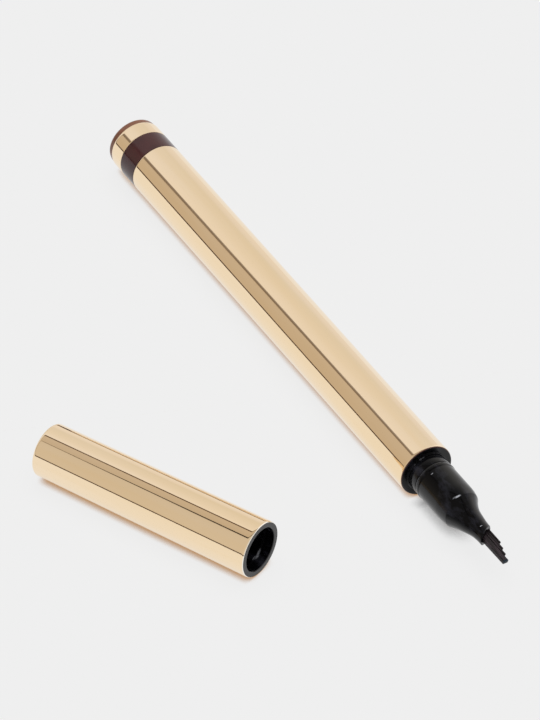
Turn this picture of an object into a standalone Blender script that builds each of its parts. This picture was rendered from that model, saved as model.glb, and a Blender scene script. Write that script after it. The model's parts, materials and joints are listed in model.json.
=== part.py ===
"""Liquid eyebrow pen with its cap taken off, lying on a table. Metres, +Z up.

Each piece is modelled along its own +X: the pen from its rear end face to the tines of its nib, the cap
from its closed end to its mouth. One empty then lays the pen down and another lays the cap down. The
cap's axis runs along the world's +X, and the origin is on the table, under the middle of the pair.
Radii grow outwards from the nib: what goes round a piece takes its bore from it, plus a clearance.
"""
import bmesh
import bpy
from math import asin, cos, hypot, pi, radians, sin
from mathutils import Matrix, Vector

# Clearances
FIT_GAP = 0.00025        # between pieces that are pressed together or butt against each other
NIB_GAP = 0.0001         # round the nib, in the holder and in the nozzle's mouth
SNAP_GAP = 0.0001        # between the nozzle's bead and the ridge in the cap

# Nib
NIB_W = 0.00215
NIB_T = 0.0008
NIB_OFFSET = 0.000215    # the nib sits this far off the pen's axis
TINES = 4
TINE_PITCH = 0.00039     # of the shorter tines: the longest takes the rest of the width
TINE_SLOT = 0.0001
TINE_SLOT_ROOT = 0.0004  # from the nozzle's mouth to the bottom of the slots
TINE_FIRST = 0.00292     # how far the shortest tine stands out of the nozzle
TINE_STEP = 0.00141      # how much longer each next tine is
TINE_CUT = 0.0005        # how far the cut across a tine leans back, top to underside
NIB_SHANK = 0.0132
NIB_POINT = 0.0012       # length of the chisel point that goes into the wick

# Nib holder, wick and reservoir
SLEEVE_WALL = 0.000227
SLEEVE_LEN = 0.0055
SLEEVE_SLIT = 0.0008
SLEEVE_RINGS = 2         # raised rings that hold the sleeve in the nozzle
SLEEVE_RING_H = 0.00013
WICK_D = 0.0020
WICK_FLUTE = 0.00018
WICK_FLUTES = 8
WICK_EMBED = 0.0200      # how much of the wick is inside the reservoir
FILM_WALL = 0.00015
FILM_SLIT = 0.0010
CORE_CHAMFER = 0.0004
CORE_GROOVE = 0.0005     # width and depth of the groove that lets air along the reservoir

# Nozzle
NOZZLE_WALL = 0.00071
NOZZLE_SPIGOT_LEN = 0.0068
HEAD_LEN = 0.0085        # from the parting line to the shoulder
CONE_LEN = 0.0072        # from the shoulder to the middle of the mouth
BEAD_LEN = 0.0009
BEAD_H = 0.00008
SHOULDER_DROP = 0.00026
SHOULDER_LEN = 0.0026
CONE_POWER = 2.15        # above 1 the cone is hollowed
TIP_WALL = 0.00028
LIP_ROUND = 0.00015
MOUTH_SLANT = 0.68       # rise over run of the slanted mouth
SLANT_LEAD = 0.0015      # how far before the shoulder the slant begins
TIP_OFFSET = 0.0002      # how far the mouth stands off the pen's axis, with the nib
TIP_BEND_X = 0.0024      # where, past the shoulder, the cone starts to lean that way
TIP_BEND_LEN = 0.0027
CHANNEL_PAST = 0.0006    # how far the wide channel runs past the shoulder
VENT_W = 0.0006
VENT_H = 0.0002
NOZZLE_VENTS = 3

# Collar
COLLAR_WALL = 0.00075
COLLAR_SPIGOT_WALL = 0.00049
COLLAR_SPIGOT_LEN = 0.0055
COLLAR_VENTS = 4
FLANGE_LEN = 0.0015
RIM_LEN = 0.0002         # rim of the collar that covers the end of the barrel
RIM_DROP = 0.00012       # how much smaller its radius is than the barrel's
BASE_RING_LEN = 0.0003   # raised ring round the foot of the neck
BASE_RING_H = 0.00012
GROOVE_LEN = 0.0004      # groove between that ring and the neck
GROOVE_DEPTH = 0.0002
NECK_LEN = 0.00255

# Barrel
LINER_WALL = 0.00065
LINER_RIB_H = 0.0002
LINER_RIB_W = 0.0008
LINER_RIBS = 6
SHELL_WALL = 0.00035
SHELL_LEN = 0.08935
BAND_LEN = 0.0041
RING_LEN = 0.0029
LIP_LEN = 0.0004         # length and drop of the soft edge at the barrel's mouth
LIP_DROP = 0.00018
RING_LIP_LEN = 0.0005    # the same at the ring's rear edge
TAIL_LEN = 0.00125       # end of the plug that shows behind the ring
TAIL_DROP = 0.00015      # how much smaller its radius is than the barrel's
TAIL_ROUND = 0.0005
PLUG_SPIGOT_LEN = 0.0065
PLUG_SPIGOT_WALL = 0.0008
PLUG_NOSE = 0.0010       # how far the cross stands out of the plug
PLUG_RIB_H = 0.0001
PLUG_RIB_W = 0.0006
PLUG_RIBS = 6
CROSS_T = 0.0009

# Cap
CAP_LEN = 0.0430         # from the closed end to the back of the black rim
CAP_TAPER = 0.00030      # how much smaller the radius is at the closed end
CAP_LINER_WALL = 0.00051
CAP_RIM_LEN = 0.00015    # rim of the liner that covers the end of the gold
CAP_RIM_DROP = 0.00014   # how much smaller its radius is than the cap's
CAP_LIP_LEN = 0.0006
CAP_SNAP_LEN = 0.0008    # the ridge that snaps in behind the nozzle's bead
CAP_SNAP_H = 0.00008
CAP_SNAP_SLACK = 0.00005
CAP_LINER_WEB = 0.0010
CAP_CHAMFER = 0.00035
CAP_END_WALL = 0.0008
CAP_ROUND = 0.0006
SHOULDER_ROOM = 0.0012   # from the nozzle's shoulder to the end of the cap's front bore
SEAL_WALL = 0.0009
SEAL_LIP = 0.0007        # width of the funnel at the seal's mouth
SEAL_LIP_LEN = 0.0010
SEAL_BORE_R = 0.0026
SEAL_END = 0.0008
TIP_ROOM = 0.0020        # from the longest tine to the bottom of the seal

# How the pair lies
PEN_TURN = radians(-24.6)
PEN_REAR_X = -0.03518    # the pen's rear end, seen from the closed end of the cap
PEN_REAR_Y = 0.07263

# Fineness
EDGE = 0.0001            # small break on the edges of turned pieces
LEAD_IN = 0.0004         # length of the chamfer that leads a spigot into its bore
LEAD_DROP = 0.0002       # how much smaller the spigot is at the end of that chamfer
OUTER_SIDES = 48
INNER_SIDES = 30
ROUND_STEPS = 4
LIP_STEPS = 3
CONE_STEPS = 9
MERGE = 0.000001

# Radii, from the nib outwards
slot_half_w = NIB_W / 2 + NIB_GAP
slot_half_t = NIB_T / 2 + NIB_GAP
slot_r = hypot(slot_half_w + NIB_OFFSET, slot_half_t)
slot_reach = slot_half_w + abs(NIB_OFFSET - TIP_OFFSET)
tip_r = hypot(slot_reach, slot_half_t) + TIP_WALL
sleeve_r = slot_r + SLEEVE_WALL
channel_r = sleeve_r + FIT_GAP
nozzle_spigot_r = channel_r + NOZZLE_WALL
collar_bore_r = nozzle_spigot_r + FIT_GAP
neck_r = collar_bore_r + COLLAR_WALL
bead_r = neck_r + BEAD_H
shoulder_r = neck_r - SHOULDER_DROP
collar_spigot_r = collar_bore_r + COLLAR_SPIGOT_WALL
liner_bore_r = collar_spigot_r + FIT_GAP
liner_r = liner_bore_r + LINER_WALL
shell_bore_r = liner_r + FIT_GAP
barrel_r = shell_bore_r + SHELL_WALL
rim_r = barrel_r - RIM_DROP
tail_r = barrel_r - TAIL_DROP
film_r = liner_bore_r - LINER_RIB_H - FIT_GAP
core_r = film_r - FILM_WALL - FIT_GAP
wick_r = WICK_D / 2
snap_r = bead_r + SNAP_GAP
cap_bore_r = snap_r + CAP_SNAP_H
cap_liner_r = cap_bore_r + CAP_LINER_WALL
cap_shell_bore_r = cap_liner_r + FIT_GAP
cap_mouth_r = cap_shell_bore_r + SHELL_WALL
cap_end_r = cap_mouth_r - CAP_TAPER
cap_rim_r = cap_mouth_r - CAP_RIM_DROP
seal_r = SEAL_BORE_R + SEAL_WALL
seal_pocket_r = seal_r + FIT_GAP

# Stations along the pen, from its rear end face
ring_x = TAIL_LEN + FIT_GAP
band_x = ring_x + RING_LEN + FIT_GAP
shell_x = band_x + BAND_LEN + FIT_GAP
shell_end_x = shell_x + SHELL_LEN
mouth_x = shell_end_x + FIT_GAP
plug_step_x = shell_x - FIT_GAP
plug_spigot_end_x = plug_step_x + PLUG_SPIGOT_LEN
flange_x = mouth_x + RIM_LEN
flange_back_x = flange_x - FLANGE_LEN
liner_front_x = flange_back_x - FIT_GAP
collar_back_x = flange_back_x - COLLAR_SPIGOT_LEN
neck_front_x = mouth_x + NECK_LEN
head_x = neck_front_x + FIT_GAP
shoulder_x = head_x + HEAD_LEN
tip_x = shoulder_x + CONE_LEN
channel_end_x = shoulder_x + CHANNEL_PAST
slant_x = shoulder_x - SLANT_LEAD
bend_x = shoulder_x + TIP_BEND_X
nozzle_back_x = head_x - NOZZLE_SPIGOT_LEN
nib_back_x = tip_x - NIB_SHANK
nib_tip_x = tip_x + TINE_FIRST + (TINES - 1) * TINE_STEP
core_back_x = plug_spigot_end_x + PLUG_NOSE + FIT_GAP
core_front_x = min(collar_back_x, nozzle_back_x) - FIT_GAP

# Stations along the cap, as depths from its mouth. When it is on, its liner's face meets the collar's
closed_x = flange_x + CAP_RIM_LEN
snap_depth = head_x - closed_x - CAP_SNAP_SLACK - CAP_SNAP_LEN
front_bore_depth = shoulder_x - closed_x + SHOULDER_ROOM
seal_front_depth = front_bore_depth + FIT_GAP
seal_floor_depth = nib_tip_x - closed_x + TIP_ROOM
seal_back_depth = seal_floor_depth + SEAL_END
pocket_depth = seal_back_depth + FIT_GAP


def clear_scene():
    for ob in list(bpy.data.objects):
        bpy.data.objects.remove(ob, do_unlink=True)


def material(name, color, roughness, metallic=0.0):
    mat = bpy.data.materials.new(name)
    mat.use_nodes = True
    shader = mat.node_tree.nodes["Principled BSDF"]
    shader.inputs["Base Color"].default_value = (*color, 1.0)
    shader.inputs["Roughness"].default_value = roughness
    shader.inputs["Metallic"].default_value = metallic
    return mat


def piece(name, bm, mat, parent):
    """Make a named object from a bmesh, smooth on its round faces."""
    mesh = bpy.data.meshes.new(name)
    bmesh.ops.recalc_face_normals(bm, faces=bm.faces)
    bm.to_mesh(mesh)
    bm.free()
    mesh.shade_smooth()
    mesh.set_sharp_from_angle(angle=radians(35))
    if mat:
        mesh.materials.append(mat)
    ob = bpy.data.objects.new(name, mesh)
    bpy.context.collection.objects.link(ob)
    ob.parent = parent
    return ob


def combine(target, name, bm, operation):
    """Cut a hidden shape out of a piece, or unite one with it."""
    tool = piece(target.name + "_" + name, bm, None, target.parent)
    tool.display_type = "WIRE"
    tool.hide_render = True
    mod = target.modifiers.new(name, "BOOLEAN")
    mod.operation = operation
    mod.solver = "EXACT"
    mod.object = tool
    return tool


def turned(outline, sides):
    """Turn an outline of (x, radius) points round the X axis. One that starts and ends on the axis is
    a solid, and any other is closed into a ring."""
    bm = bmesh.new()
    verts = [bm.verts.new((x, 0, r)) for x, r in outline]
    on_axis = outline[0][1] == 0 and outline[-1][1] == 0
    ends = verts[1:] if on_axis else verts[1:] + verts[:1]
    edges = [bm.edges.new(pair) for pair in zip(verts, ends)]
    bmesh.ops.spin(bm, geom=verts + edges, axis=(1, 0, 0), cent=(0, 0, 0), angle=2 * pi,
                   steps=sides, use_merge=True)
    bmesh.ops.remove_doubles(bm, verts=bm.verts, dist=MERGE)
    return bm


def corner(x, r, size, start, turn=-90):
    """Points of a round corner, as an arc of the given size about (x, r), from a start angle in degrees
    where 0 points along +X and 90 points outwards."""
    angles = [radians(start + turn * i / ROUND_STEPS) for i in range(ROUND_STEPS + 1)]
    return [(x + size * cos(a), r + size * sin(a)) for a in angles]


def soft_edge(x, r, length, drop, way):
    """Points of a long soft edge that leads the outside of a tube down to its end at station x, in the
    order from the tube to its end. The way is +1 for a front end and -1 for a rear end."""
    turns = [pi / 2 * i / LIP_STEPS for i in range(LIP_STEPS + 1)]
    return [(x - way * length * (1 - sin(t)), r - drop * (1 - cos(t))) for t in turns]


def tube(x0, x1, bore_r, outer_r, sides, edge=EDGE, front=None, rear=None):
    """A tube with its four edges broken. A soft edge in front or behind is given as its points."""
    rear = rear or [(x0 + edge, outer_r), (x0, outer_r - edge)]
    front = front or [(x1 - edge, outer_r), (x1, outer_r - edge)]
    bore = [(x1, bore_r + edge / 2), (x1 - edge, bore_r), (x0 + edge, bore_r), (x0, bore_r + edge / 2)]
    return turned(rear[::-1] + front + bore, sides)


def box(low, high):
    """A box between two corners."""
    low, high = Vector(low), Vector(high)
    bm = bmesh.new()
    bmesh.ops.create_cube(bm, size=1.0, matrix=Matrix.Translation((low + high) / 2)
                          @ Matrix.Diagonal((*(high - low), 1.0)))
    return bm


def bars(x0, x1, r0, r1, width, count):
    """Straight bars along X, spaced evenly round the axis, from radius r0 to radius r1."""
    bm = bmesh.new()
    for i in range(count):
        bar = box((x0, -width / 2, r0), (x1, width / 2, r1))
        bmesh.ops.rotate(bar, verts=bar.verts, cent=(0, 0, 0),
                         matrix=Matrix.Rotation(2 * pi * (i + 0.5) / count, 3, "X"))
        mesh = bpy.data.meshes.new("bar")
        bar.to_mesh(mesh)
        bar.free()
        bm.from_mesh(mesh)
        bpy.data.meshes.remove(mesh)
    return bm


def make_fork_nib(pen, mat):
    """A flat nib: a shank with a chisel point, and tines stepped in length, each cut off at a slant."""
    sides = [-NIB_W / 2] + [NIB_W / 2 - (TINES - 1 - i) * TINE_PITCH for i in range(TINES)]
    outline = [(nib_back_x, 0.0), (nib_back_x + NIB_POINT, -NIB_W / 2)]
    for i in range(TINES):
        y0, y1 = sides[i], sides[i + 1]
        length = TINE_FIRST + (TINES - 1 - i) * TINE_STEP
        low_y = y0 + (TINE_SLOT / 2 if i else 0)
        high_y = y1 - (TINE_SLOT / 2 if i < TINES - 1 else 0)
        outline += [(tip_x + length, low_y), (tip_x + length, high_y)]
        if i < TINES - 1:
            root = tip_x + TINE_SLOT_ROOT - MOUTH_SLANT * y1
            outline += [(root, high_y), (root, y1 + TINE_SLOT / 2)]
    outline.append((nib_back_x + NIB_POINT, NIB_W / 2))
    bm = bmesh.new()
    lower = bm.faces.new([bm.verts.new((x, y + NIB_OFFSET, -NIB_T / 2)) for x, y in outline])
    top = bmesh.ops.extrude_face_region(bm, geom=[lower])["geom"]
    bmesh.ops.translate(bm, verts=[v for v in top if isinstance(v, bmesh.types.BMVert)],
                        vec=(0, 0, NIB_T))
    for v in bm.verts:
        if v.co.z < 0 and v.co.x > tip_x + TINE_FIRST - MERGE:
            v.co.x -= TINE_CUT
    return piece("fork_nib", bm, mat, pen)


def make_nib_sleeve(pen, mat):
    """The holder that centres the nib: a short ribbed tube with a flat hole and a slit for air."""
    front = channel_end_x - FIT_GAP
    back = front - SLEEVE_LEN
    waist_r = sleeve_r - SLEEVE_RING_H
    ring = SLEEVE_LEN / (2 * SLEEVE_RINGS + 1)
    outline = [(back, 0), (back, waist_r - EDGE), (back + EDGE, waist_r)]
    for i in range(SLEEVE_RINGS):
        x = back + ring * (1 + 2 * i)
        outline += [(x, waist_r), (x + EDGE, sleeve_r), (x + ring, sleeve_r), (x + ring + EDGE, waist_r)]
    outline += [(front - EDGE, waist_r), (front, waist_r - EDGE), (front, 0)]
    ob = piece("nib_sleeve", turned(outline, INNER_SIDES), mat, pen)
    combine(ob, "hole", box((back - SLEEVE_LEN, NIB_OFFSET - slot_half_w, -slot_half_t),
                            (front + SLEEVE_LEN, NIB_OFFSET + slot_half_w, slot_half_t)), "DIFFERENCE")
    combine(ob, "slit", box((back - SLEEVE_LEN, -SLEEVE_SLIT / 2, 0),
                            (front + SLEEVE_LEN, SLEEVE_SLIT / 2, 2 * sleeve_r)), "DIFFERENCE")
    return ob


def make_feed_wick(pen, mat):
    """A fluted fibre rod from inside the reservoir to the back of the nib."""
    count = WICK_FLUTES * 4
    bm = bmesh.new()
    ring = []
    for i in range(count):
        angle = 2 * pi * i / count
        r = wick_r - WICK_FLUTE * (0.5 - 0.5 * cos(WICK_FLUTES * angle))
        ring.append(bm.verts.new((core_front_x - WICK_EMBED, r * cos(angle), r * sin(angle))))
    face = bm.faces.new(ring)
    front = bmesh.ops.extrude_face_region(bm, geom=[face])["geom"]
    run = nib_back_x - FIT_GAP - (core_front_x - WICK_EMBED)
    bmesh.ops.translate(bm, verts=[v for v in front if isinstance(v, bmesh.types.BMVert)], vec=(run, 0, 0))
    return piece("feed_wick", bm, mat, pen)


def make_reservoir(pen, fibre, film):
    """The fibre core, bored for the wick and grooved for air, and the slit film round it."""
    bore_r = wick_r + FIT_GAP
    bore_end = core_front_x - WICK_EMBED - FIT_GAP
    c = CORE_CHAMFER
    core = piece("reservoir_core", turned([
        (core_back_x, 0), (core_back_x, core_r - c), (core_back_x + c, core_r), (core_front_x - c, core_r),
        (core_front_x, core_r - c), (core_front_x, bore_r), (bore_end, bore_r), (bore_end, 0)],
        INNER_SIDES), fibre, pen)
    combine(core, "groove", box((core_back_x - c, -CORE_GROOVE / 2, core_r - CORE_GROOVE),
                                (core_front_x + c, CORE_GROOVE / 2, 2 * core_r)), "DIFFERENCE")
    wrap = piece("reservoir_film", tube(core_back_x + c, core_front_x - c, film_r - FILM_WALL, film_r,
                                        INNER_SIDES, FILM_WALL / 4), film, pen)
    combine(wrap, "slit", box((core_back_x - c, -FILM_SLIT / 2, 0),
                              (core_front_x + c, FILM_SLIT / 2, 2 * film_r)), "DIFFERENCE")
    return core, wrap


def cone_r(x):
    """Radius of the hollowed cone at a station between the shoulder and the mouth."""
    left = max(0.0, 1 - (x - shoulder_x) / CONE_LEN)
    return tip_r + (shoulder_r - tip_r) * left ** CONE_POWER


def lean(x):
    """How far the cone stands off the pen's axis at a station."""
    share = min(1.0, max(0.0, (x - bend_x) / TIP_BEND_LEN))
    return TIP_OFFSET * share * share * (3 - 2 * share)


def make_nozzle(pen, mat):
    """The nose of the pen: a vented spigot, a bead and a straight head, a crisp shoulder and a hollowed
    cone. Shearing it more and more towards its tip slants its mouth, and it leans over to the nib."""
    e = EDGE
    bead_x = head_x + e
    outline = [(channel_end_x, 0), (channel_end_x, channel_r), (nozzle_back_x + e, channel_r),
               (nozzle_back_x, channel_r + e), (nozzle_back_x, nozzle_spigot_r - e),
               (nozzle_back_x + e, nozzle_spigot_r), (head_x, nozzle_spigot_r), (head_x, neck_r - e),
               (bead_x, neck_r), (bead_x + BEAD_LEN / 3, bead_r), (bead_x + 2 * BEAD_LEN / 3, bead_r),
               (bead_x + BEAD_LEN, neck_r), (shoulder_x - SHOULDER_LEN, neck_r)]
    for i in range(1, ROUND_STEPS + 1):
        share = i / ROUND_STEPS
        outline.append((shoulder_x - SHOULDER_LEN * (1 - share), neck_r - SHOULDER_DROP * share ** 2))
    for i in range(1, CONE_STEPS):
        x = shoulder_x + (CONE_LEN - LIP_ROUND) * i / CONE_STEPS
        outline.append((x, cone_r(x)))
    outline += corner(tip_x - LIP_ROUND, tip_r - LIP_ROUND, LIP_ROUND, 90)
    outline.append((tip_x, 0))
    bm = turned(outline, OUTER_SIDES)
    for v in bm.verts:
        share = (v.co.x - slant_x) / (tip_x - slant_x)
        inside = v.co.x < channel_end_x + MERGE and hypot(v.co.y, v.co.z) < channel_r + MERGE
        if share > 0 and not inside:
            off = lean(v.co.x)
            v.co.x -= MOUTH_SLANT * share * v.co.y
            v.co.y += off
    ob = piece("nozzle", bm, mat, pen)
    reach = MOUTH_SLANT * tip_r + CONE_LEN
    combine(ob, "mouth", box((channel_end_x - FIT_GAP, NIB_OFFSET - slot_half_w, -slot_half_t),
                             (tip_x + reach, NIB_OFFSET + slot_half_w, slot_half_t)), "DIFFERENCE")
    combine(ob, "vents", bars(nozzle_back_x - e, head_x - VENT_W, nozzle_spigot_r - VENT_H,
                              2 * nozzle_spigot_r, VENT_W, NOZZLE_VENTS), "DIFFERENCE")
    return ob


def make_front_collar(pen, mat):
    """The collar in the barrel's mouth: a spigot with vents, a flange whose rim covers the end of the
    barrel, and the neck that the cap slides over, with a ring and a groove round its foot."""
    e = EDGE
    ring_r = neck_r + BASE_RING_H
    groove_x = flange_x + BASE_RING_LEN
    neck_x = groove_x + GROOVE_LEN
    outline = [(neck_front_x, neck_r - e), (neck_front_x, collar_bore_r + e),
               (neck_front_x - e, collar_bore_r), (collar_back_x + e, collar_bore_r),
               (collar_back_x, collar_bore_r + e), (collar_back_x, collar_spigot_r - LEAD_DROP),
               (collar_back_x + LEAD_IN, collar_spigot_r), (flange_back_x, collar_spigot_r),
               (flange_back_x, liner_r - e), (flange_back_x + e, liner_r), (mouth_x, liner_r),
               (mouth_x, rim_r), (flange_x - e, rim_r), (flange_x, rim_r - e), (flange_x, ring_r),
               (groove_x, ring_r),
               (groove_x, neck_r - GROOVE_DEPTH), (neck_x, neck_r - GROOVE_DEPTH), (neck_x, neck_r),
               (neck_front_x - e, neck_r)]
    ob = piece("front_collar", turned(outline, OUTER_SIDES), mat, pen)
    combine(ob, "vents", bars(collar_back_x - e, collar_back_x + COLLAR_SPIGOT_LEN / 2,
                              collar_bore_r - e, 2 * collar_spigot_r, VENT_W, COLLAR_VENTS), "DIFFERENCE")
    return ob


def make_barrel(pen, gold, plastic, shade):
    """The gold shell on its ribbed liner, the shade band behind it and the gold ring behind that."""
    lip = soft_edge(shell_end_x, barrel_r, LIP_LEN, LIP_DROP, 1)
    shell = piece("barrel_shell", tube(shell_x, shell_end_x, shell_bore_r, barrel_r, OUTER_SIDES,
                                       front=lip), gold, pen)
    band = piece("shade_band", tube(band_x, band_x + BAND_LEN, shell_bore_r, barrel_r, OUTER_SIDES),
                 shade, pen)
    lip = soft_edge(ring_x, barrel_r, RING_LIP_LEN, LIP_DROP, -1)
    end = ring_x + RING_LEN
    ring = piece("rear_ring", tube(ring_x, end, shell_bore_r, barrel_r, OUTER_SIDES, rear=lip), gold, pen)
    liner = piece("barrel_liner", tube(shell_x, liner_front_x, liner_bore_r, liner_r, OUTER_SIDES),
                  plastic, pen)
    combine(liner, "ribs", bars(plug_spigot_end_x + FIT_GAP, collar_back_x - FIT_GAP,
                                liner_bore_r - LINER_RIB_H, liner_bore_r + LINER_WALL / 2, LINER_RIB_W,
                                LINER_RIBS), "UNION")
    return shell, band, ring, liner


def make_rear_plug(pen, mat):
    """The plug: a round-edged end, a boss that carries the ring and the band, a hollow spigot with crush
    ribs, and a cross inside it that stands out and holds the reservoir forward."""
    e = EDGE
    spigot_r = collar_spigot_r
    hollow_r = spigot_r - PLUG_SPIGOT_WALL
    outline = [(0, 0)] + corner(TAIL_ROUND, tail_r - TAIL_ROUND, TAIL_ROUND, 180)
    outline += [(TAIL_LEN - e, tail_r), (TAIL_LEN, tail_r - e), (TAIL_LEN, liner_r),
                (plug_step_x - e, liner_r), (plug_step_x, liner_r - e), (plug_step_x, spigot_r),
                (plug_spigot_end_x - LEAD_IN, spigot_r), (plug_spigot_end_x, spigot_r - LEAD_DROP),
                (plug_spigot_end_x, hollow_r), (plug_step_x, hollow_r), (plug_step_x, 0)]
    ob = piece("rear_plug", turned(outline, OUTER_SIDES), mat, pen)
    combine(ob, "ribs", bars(plug_step_x + FIT_GAP, plug_spigot_end_x - LEAD_IN - e, hollow_r + e,
                             spigot_r + PLUG_RIB_H, PLUG_RIB_W, PLUG_RIBS), "UNION")
    inner = plug_step_x - PLUG_SPIGOT_WALL
    front = plug_spigot_end_x + PLUG_NOSE
    reach = min(core_r, hollow_r + PLUG_SPIGOT_WALL / 2)
    combine(ob, "upright", box((inner, -CROSS_T / 2, -reach), (front, CROSS_T / 2, reach)), "UNION")
    combine(ob, "level", box((inner, -reach, -CROSS_T / 2), (front, reach, CROSS_T / 2)), "UNION")
    return ob


def taper(x, mouth_size):
    """A radius that is mouth_size at the cap's mouth, less the cap's taper at station x."""
    return mouth_size - CAP_TAPER * (1 - x / CAP_LEN)


def make_cap_shell(cap, gold):
    """The gold cap: a tapered cup with a round closed end and a thin rim."""
    e = EDGE
    bore_r = cap_shell_bore_r
    outline = [(0, 0)] + corner(CAP_ROUND, cap_end_r - CAP_ROUND, CAP_ROUND, 180)
    end = CAP_LEN - FIT_GAP
    outline += soft_edge(end, taper(end - CAP_LIP_LEN, cap_mouth_r), CAP_LIP_LEN, LIP_DROP, 1)
    outline += [(end, bore_r + e / 2), (end - e, bore_r),
                (CAP_END_WALL, taper(CAP_END_WALL, bore_r)), (CAP_END_WALL, 0)]
    return piece("cap_shell", turned(outline, OUTER_SIDES), gold, cap)


def make_cap_liner(cap, mat):
    """The black sleeve in the cap: a rim that covers the end of the gold, a chamfered front bore with a
    snap ridge, a pocket for the seal, a web across it and a cored-out rear."""
    e = EDGE
    front = CAP_LEN + CAP_RIM_LEN
    back = CAP_END_WALL + FIT_GAP
    step = CAP_LEN - front_bore_depth
    floor = CAP_LEN - pocket_depth
    web_back = floor - CAP_LINER_WEB
    snap = CAP_LEN - snap_depth
    outline = [(front, cap_bore_r + CAP_CHAMFER), (front - CAP_CHAMFER, cap_bore_r), (snap, cap_bore_r),
               (snap - CAP_SNAP_LEN / 3, snap_r), (snap - 2 * CAP_SNAP_LEN / 3, snap_r),
               (snap - CAP_SNAP_LEN, cap_bore_r), (step, cap_bore_r), (step, seal_pocket_r),
               (floor, seal_pocket_r), (floor, 0)]
    rear = [(web_back, 0), (web_back, seal_pocket_r), (back, seal_pocket_r),
            (back, taper(back, cap_liner_r) - e), (back + e, taper(back + e, cap_liner_r)),
            (CAP_LEN, taper(CAP_LEN, cap_liner_r)), (CAP_LEN, cap_rim_r), (front - e / 2, cap_rim_r),
            (front, cap_rim_r - e / 2)]
    bm = turned(outline[::-1] + rear[:0:-1] + [(web_back, 0)], OUTER_SIDES)
    return piece("cap_liner", bm, mat, cap)


def make_cap_seal(cap, mat):
    """The soft inner cup that closes over the nozzle's nose."""
    e = EDGE
    front = CAP_LEN - seal_front_depth
    back = CAP_LEN - seal_back_depth
    floor = CAP_LEN - seal_floor_depth
    outline = [(floor, 0), (floor, SEAL_BORE_R), (front - SEAL_LIP_LEN, SEAL_BORE_R),
               (front, SEAL_BORE_R + SEAL_LIP), (front, seal_r - e), (front - e, seal_r),
               (back + LEAD_IN, seal_r), (back, seal_r - LEAD_DROP), (back, 0)]
    return piece("cap_seal", turned(outline, INNER_SIDES), mat, cap)


def holder(name):
    """An empty that carries the pieces of one body."""
    ob = bpy.data.objects.new(name, None)
    bpy.context.collection.objects.link(ob)
    return ob


def lay_down(pen, cap):
    """Lay both on the table, and bring the middle of the pair's box over the origin. The tapered cap
    tips up by its taper, so that it rests along its whole underside."""
    tip_up = asin(CAP_TAPER / CAP_LEN)
    cap.rotation_euler = (0, -tip_up, 0)
    cap.location = (0, 0, cap_end_r * cos(tip_up))
    pen.rotation_euler = (0, 0, PEN_TURN)
    pen.location = (PEN_REAR_X, PEN_REAR_Y, barrel_r)
    bpy.context.view_layer.update()
    shown = [ob for ob in bpy.data.objects if ob.type == "MESH" and not ob.hide_render]
    corners = [ob.matrix_world @ v.co for ob in shown for v in ob.data.vertices]
    middle = Vector([(min(c[i] for c in corners) + max(c[i] for c in corners)) / 2 for i in range(2)] + [0])
    for body in (pen, cap):
        body.location -= middle


def main():
    clear_scene()
    gold = material("metallised_gold", (0.95, 0.78, 0.56), 0.12, 1.0)
    black = material("black_polypropylene", (0.012, 0.012, 0.014), 0.3)
    shade = material("burgundy_lacquer", (0.11, 0.04, 0.045), 0.25)
    white = material("white_polypropylene", (0.75, 0.74, 0.72), 0.45)
    soft = material("soft_polyethylene", (0.10, 0.10, 0.11), 0.5)
    fibre = material("inked_fibre", (0.05, 0.03, 0.025), 0.9)
    nylon = material("inked_nib", (0.02, 0.012, 0.014), 0.6)
    film = material("clear_film", (0.8, 0.8, 0.8), 0.2)

    pen = holder("pen_axis")
    cap = holder("cap_axis")
    make_fork_nib(pen, nylon)
    make_nib_sleeve(pen, white)
    make_feed_wick(pen, fibre)
    make_reservoir(pen, fibre, film)
    make_nozzle(pen, black)
    make_front_collar(pen, black)
    make_barrel(pen, gold, black, shade)
    make_rear_plug(pen, shade)
    make_cap_shell(cap, gold)
    make_cap_liner(cap, black)
    make_cap_seal(cap, soft)
    lay_down(pen, cap)


main()
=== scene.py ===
"""Liquid eyebrow pen with its cap taken off: fine surfaces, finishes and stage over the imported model.

The file is laid out as a Blender add-on and is run as a script. Metres, +Z up. A turned piece is drawn as an
outline of (station, radius, round) points along the axis of its body, from the closed end, and spun about it.
"""
import json
from math import acos, atan2, cos, hypot, pi, radians, sin, tan

import bmesh
import bpy
from bpy.props import FloatProperty, FloatVectorProperty, IntProperty, PointerProperty
from bpy.types import Operator, Panel, PropertyGroup
from mathutils import Matrix, Vector


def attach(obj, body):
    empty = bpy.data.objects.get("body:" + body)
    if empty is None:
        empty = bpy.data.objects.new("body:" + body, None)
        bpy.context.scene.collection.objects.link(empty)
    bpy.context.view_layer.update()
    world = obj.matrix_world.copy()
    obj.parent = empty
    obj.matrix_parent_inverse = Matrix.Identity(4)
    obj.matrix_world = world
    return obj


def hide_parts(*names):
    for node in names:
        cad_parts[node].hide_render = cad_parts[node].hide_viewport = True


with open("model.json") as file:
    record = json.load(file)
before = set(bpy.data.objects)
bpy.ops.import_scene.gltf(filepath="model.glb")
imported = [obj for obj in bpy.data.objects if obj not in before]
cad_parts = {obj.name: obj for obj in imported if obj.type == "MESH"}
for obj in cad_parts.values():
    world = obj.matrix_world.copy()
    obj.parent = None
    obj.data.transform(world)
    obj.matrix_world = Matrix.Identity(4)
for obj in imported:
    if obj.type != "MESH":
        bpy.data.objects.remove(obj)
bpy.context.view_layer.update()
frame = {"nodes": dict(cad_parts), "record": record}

bl_info = {
    "name": "Eyebrow pen",
    "version": (1, 0, 0),
    "blender": (4, 5, 0),
    "location": "3D View > Sidebar > Pen",
    "description": "Fine surfaces and finishes for a liquid eyebrow pen and its cap",
    "category": "Object",
}

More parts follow.
